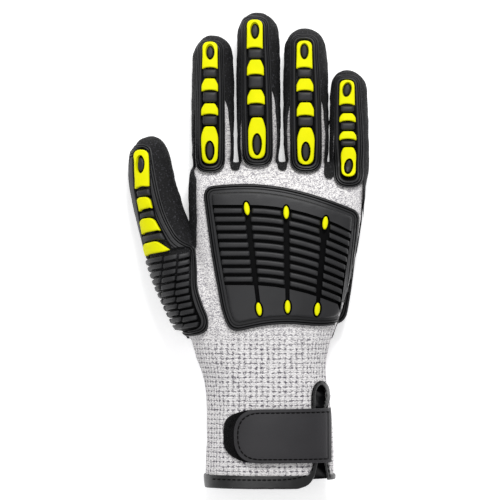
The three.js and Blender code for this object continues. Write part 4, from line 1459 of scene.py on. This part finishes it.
def loose_fibres():
    """Thin pyramids of fibre that stand out along the left edge of the patch."""
    ring_x, ring_across, ring_along = FIBRE_RING
    corners = []
    faces = []
    for _ in range(FIBRES):
        turn = random.uniform(0.42 * math.pi, 1.58 * math.pi)
        reach = random.uniform(0.78, 1.0)
        x = ring_x + ring_across * reach * math.cos(turn)
        y = STRAP_Y + ring_along * reach * math.sin(turn)
        foot = from_above(x, y, CLEARANCE + PATCH_WALL - 0.2)
        out = Vector((random.gauss(0, 0.6), random.gauss(0, 0.6), random.uniform(0.3, 1.0)))
        tip = foot + out.normalized() * random.uniform(0.5, 1.2)
        side = out.cross(Vector((random.random(), random.random(), 0.2))).normalized() * FIBRE_WIDTH
        base = len(corners)
        corners += [foot + side, foot - side, foot + side.cross(out).normalized() * FIBRE_WIDTH, tip]
        faces += [(base, base + 1, base + 3), (base + 1, base + 2, base + 3)]
        faces += [(base + 2, base, base + 3), (base + 1, base, base + 2)]
    mesh = bpy.data.meshes.new("fibres")
    mesh.from_pydata(corners, [], faces)
    piece = bpy.data.objects.new("fibres", mesh)
    bpy.context.collection.objects.link(piece)
    edit(piece)
    bpy.ops.mesh.normals_make_consistent(inside=False)
    done()
    return piece


patch = joined("patch", [patch, loose_fibres()])
finish_piece(patch, "loop_patch_pile", "black_fabric", ["loop_patch"], pile_finish, 40)

# Strap with a welt inside its edge
STRAP_LOW = 1.5
STRAP_WELT = [(0.25, 0.2), (1.5, 0.08), (0.15, -0.3), (0.35, 0.0), (0.15, 0.3), (1.5, 0.1), (4.0, 0.1)]
STRAP_CORNERS = [(-19.8, 44.2, 14.4), (-19.8, 14.4, 14.4), (34.4, 14.5, 0.5), (34.4, 44.6, 0.5)]
strap = raised("strap", STRAP_CORNERS, STRAP_LOW, 1.15, STRAP_WELT, 12)
slice_up(strap, 1.2, 2.0)
drape(strap, from_above)
finish_piece(strap, "wrist_strap_leather", "strap_leather", ["wrist_strap"], angle=30)

# Stitches: one short thread with round ends, copied along each seam
STITCH_LENGTH = 2.1
STITCH_RADIUS = 0.38
STITCH_PITCH = 2.8
STITCH_HALF = 0.7


def stitch_model():
    """A short thread whose two ends are drawn in."""
    bpy.ops.mesh.primitive_cylinder_add(vertices=6, radius=STITCH_RADIUS, depth=STITCH_LENGTH)
    piece = bpy.context.object
    edit(piece)
    for end in (0.3, -0.3):
        bpy.ops.mesh.select_all(action="SELECT")
        bpy.ops.mesh.bisect(plane_co=(0, 0, end * STITCH_LENGTH), plane_no=(0, 0, 1))
    done()
    for vertex in piece.data.vertices:
        if abs(vertex.co.z) > 0.4 * STITCH_LENGTH:
            vertex.co.x *= 0.45
            vertex.co.y *= 0.45
    return piece


def stitches(name, path, level):
    """Stitches at an even pitch along a path on the cuff, each laid on the surface."""
    model = stitch_model()
    points = [Vector(point) for point in path]
    spots = []
    left_over = 0.0
    for start, end in zip(points, points[1:]):
        length = (end - start).length
        at = left_over
        while at < length:
            spots.append((start.lerp(end, at / length), (end - start).normalized()))
            at += STITCH_PITCH
        left_over = at - length
    copies = []
    for spot, heading in spots:
        foot = from_above(*(spot - heading * STITCH_HALF), level)
        head = from_above(*(spot + heading * STITCH_HALF), level)
        turn = Vector((0, 0, 1)).rotation_difference(head - foot)
        thread = copy_of(model, name)
        thread.data.transform(Matrix.Translation((foot + head) / 2) @ turn.to_matrix().to_4x4())
        copies.append(thread)
    bpy.data.objects.remove(model)
    finish_piece(joined(name, copies), name, "black_fabric", (), thread_finish, 50)


strap_seam = [(32.5, 42.4, 0), (-17.6, 42.0, 12.4), (-17.6, 16.6, 12.4), (32.5, 16.6, 0)]
stitches("strap_stitches", rounded(strap_seam, [0, 10, 10, 0]), STRAP_LOW + 1.35)
hem_seam = [(x, 5.2 + 0.0003 * max(0, x) ** 3) for x in range(-31, 21)]
stitches("hem_stitches", hem_seam, EDGE_ROOM + 0.25)
slit_edge = slit_corners(1.9)
slit_seam = [
    point for point in rounded(slit_edge, corner_counts(slit_edge, 6))
    if point.y > 6 and abs(point.x - SLIT_X) < 6
]
stitches("slit_stitches", slit_seam, EDGE_ROOM + 0.1)

bpy.data.objects.remove(form)

# Surface, light and camera
def stage_material():
    """Matt white card, even and clean, with a faint grain."""
    material, tree, shader = new_material("white_card", "#f6f6f7", roughness=0.9)
    finish_bump(tree, shader, pattern(tree, "Noise", 900), 0.05, 0.0001)
    glow(shader, "#ffffff", 0.45)
    return material


FLOOR_LEVEL = -0.0005
bpy.ops.mesh.primitive_plane_add(size=4)
floor = bpy.context.object
floor.name = "floor"
floor.data.transform(Matrix.Translation((0, 0, FLOOR_LEVEL)))
floor.data.materials.append(stage_material())

scene = bpy.context.scene
scene.view_settings.view_transform = "Standard"
world = bpy.data.worlds.new("studio")
scene.world = world
world.use_nodes = True
background = world.node_tree.nodes["Background"]
background.inputs["Color"].default_value = colour("#ffffff")
background.inputs["Strength"].default_value = 0.45


def soft_light(name, place, power, size):
    bpy.ops.object.light_add(type="AREA", location=place)
    light = bpy.context.object
    light.name = name
    light.data.energy = power
    light.data.size = size
    light.rotation_euler = (-Vector(place)).to_track_quat("-Z", "Y").to_euler()


soft_light("key_light", (0.15, 0.95, 0.95), 13, 0.35)
soft_light("top_light", (-0.3, -0.2, 1.5), 5, 1.0)

# The camera looks straight down on the back of the hand
CAMERA_PLACE = (0.0018, -0.0006, 2.2)
CAMERA_LENS = 281.6
bpy.ops.object.camera_add(location=CAMERA_PLACE, rotation=(0, 0, 0))
camera = bpy.context.object
camera.name = "camera"
camera.data.sensor_width = 36
camera.data.lens = CAMERA_LENS
scene.camera = camera
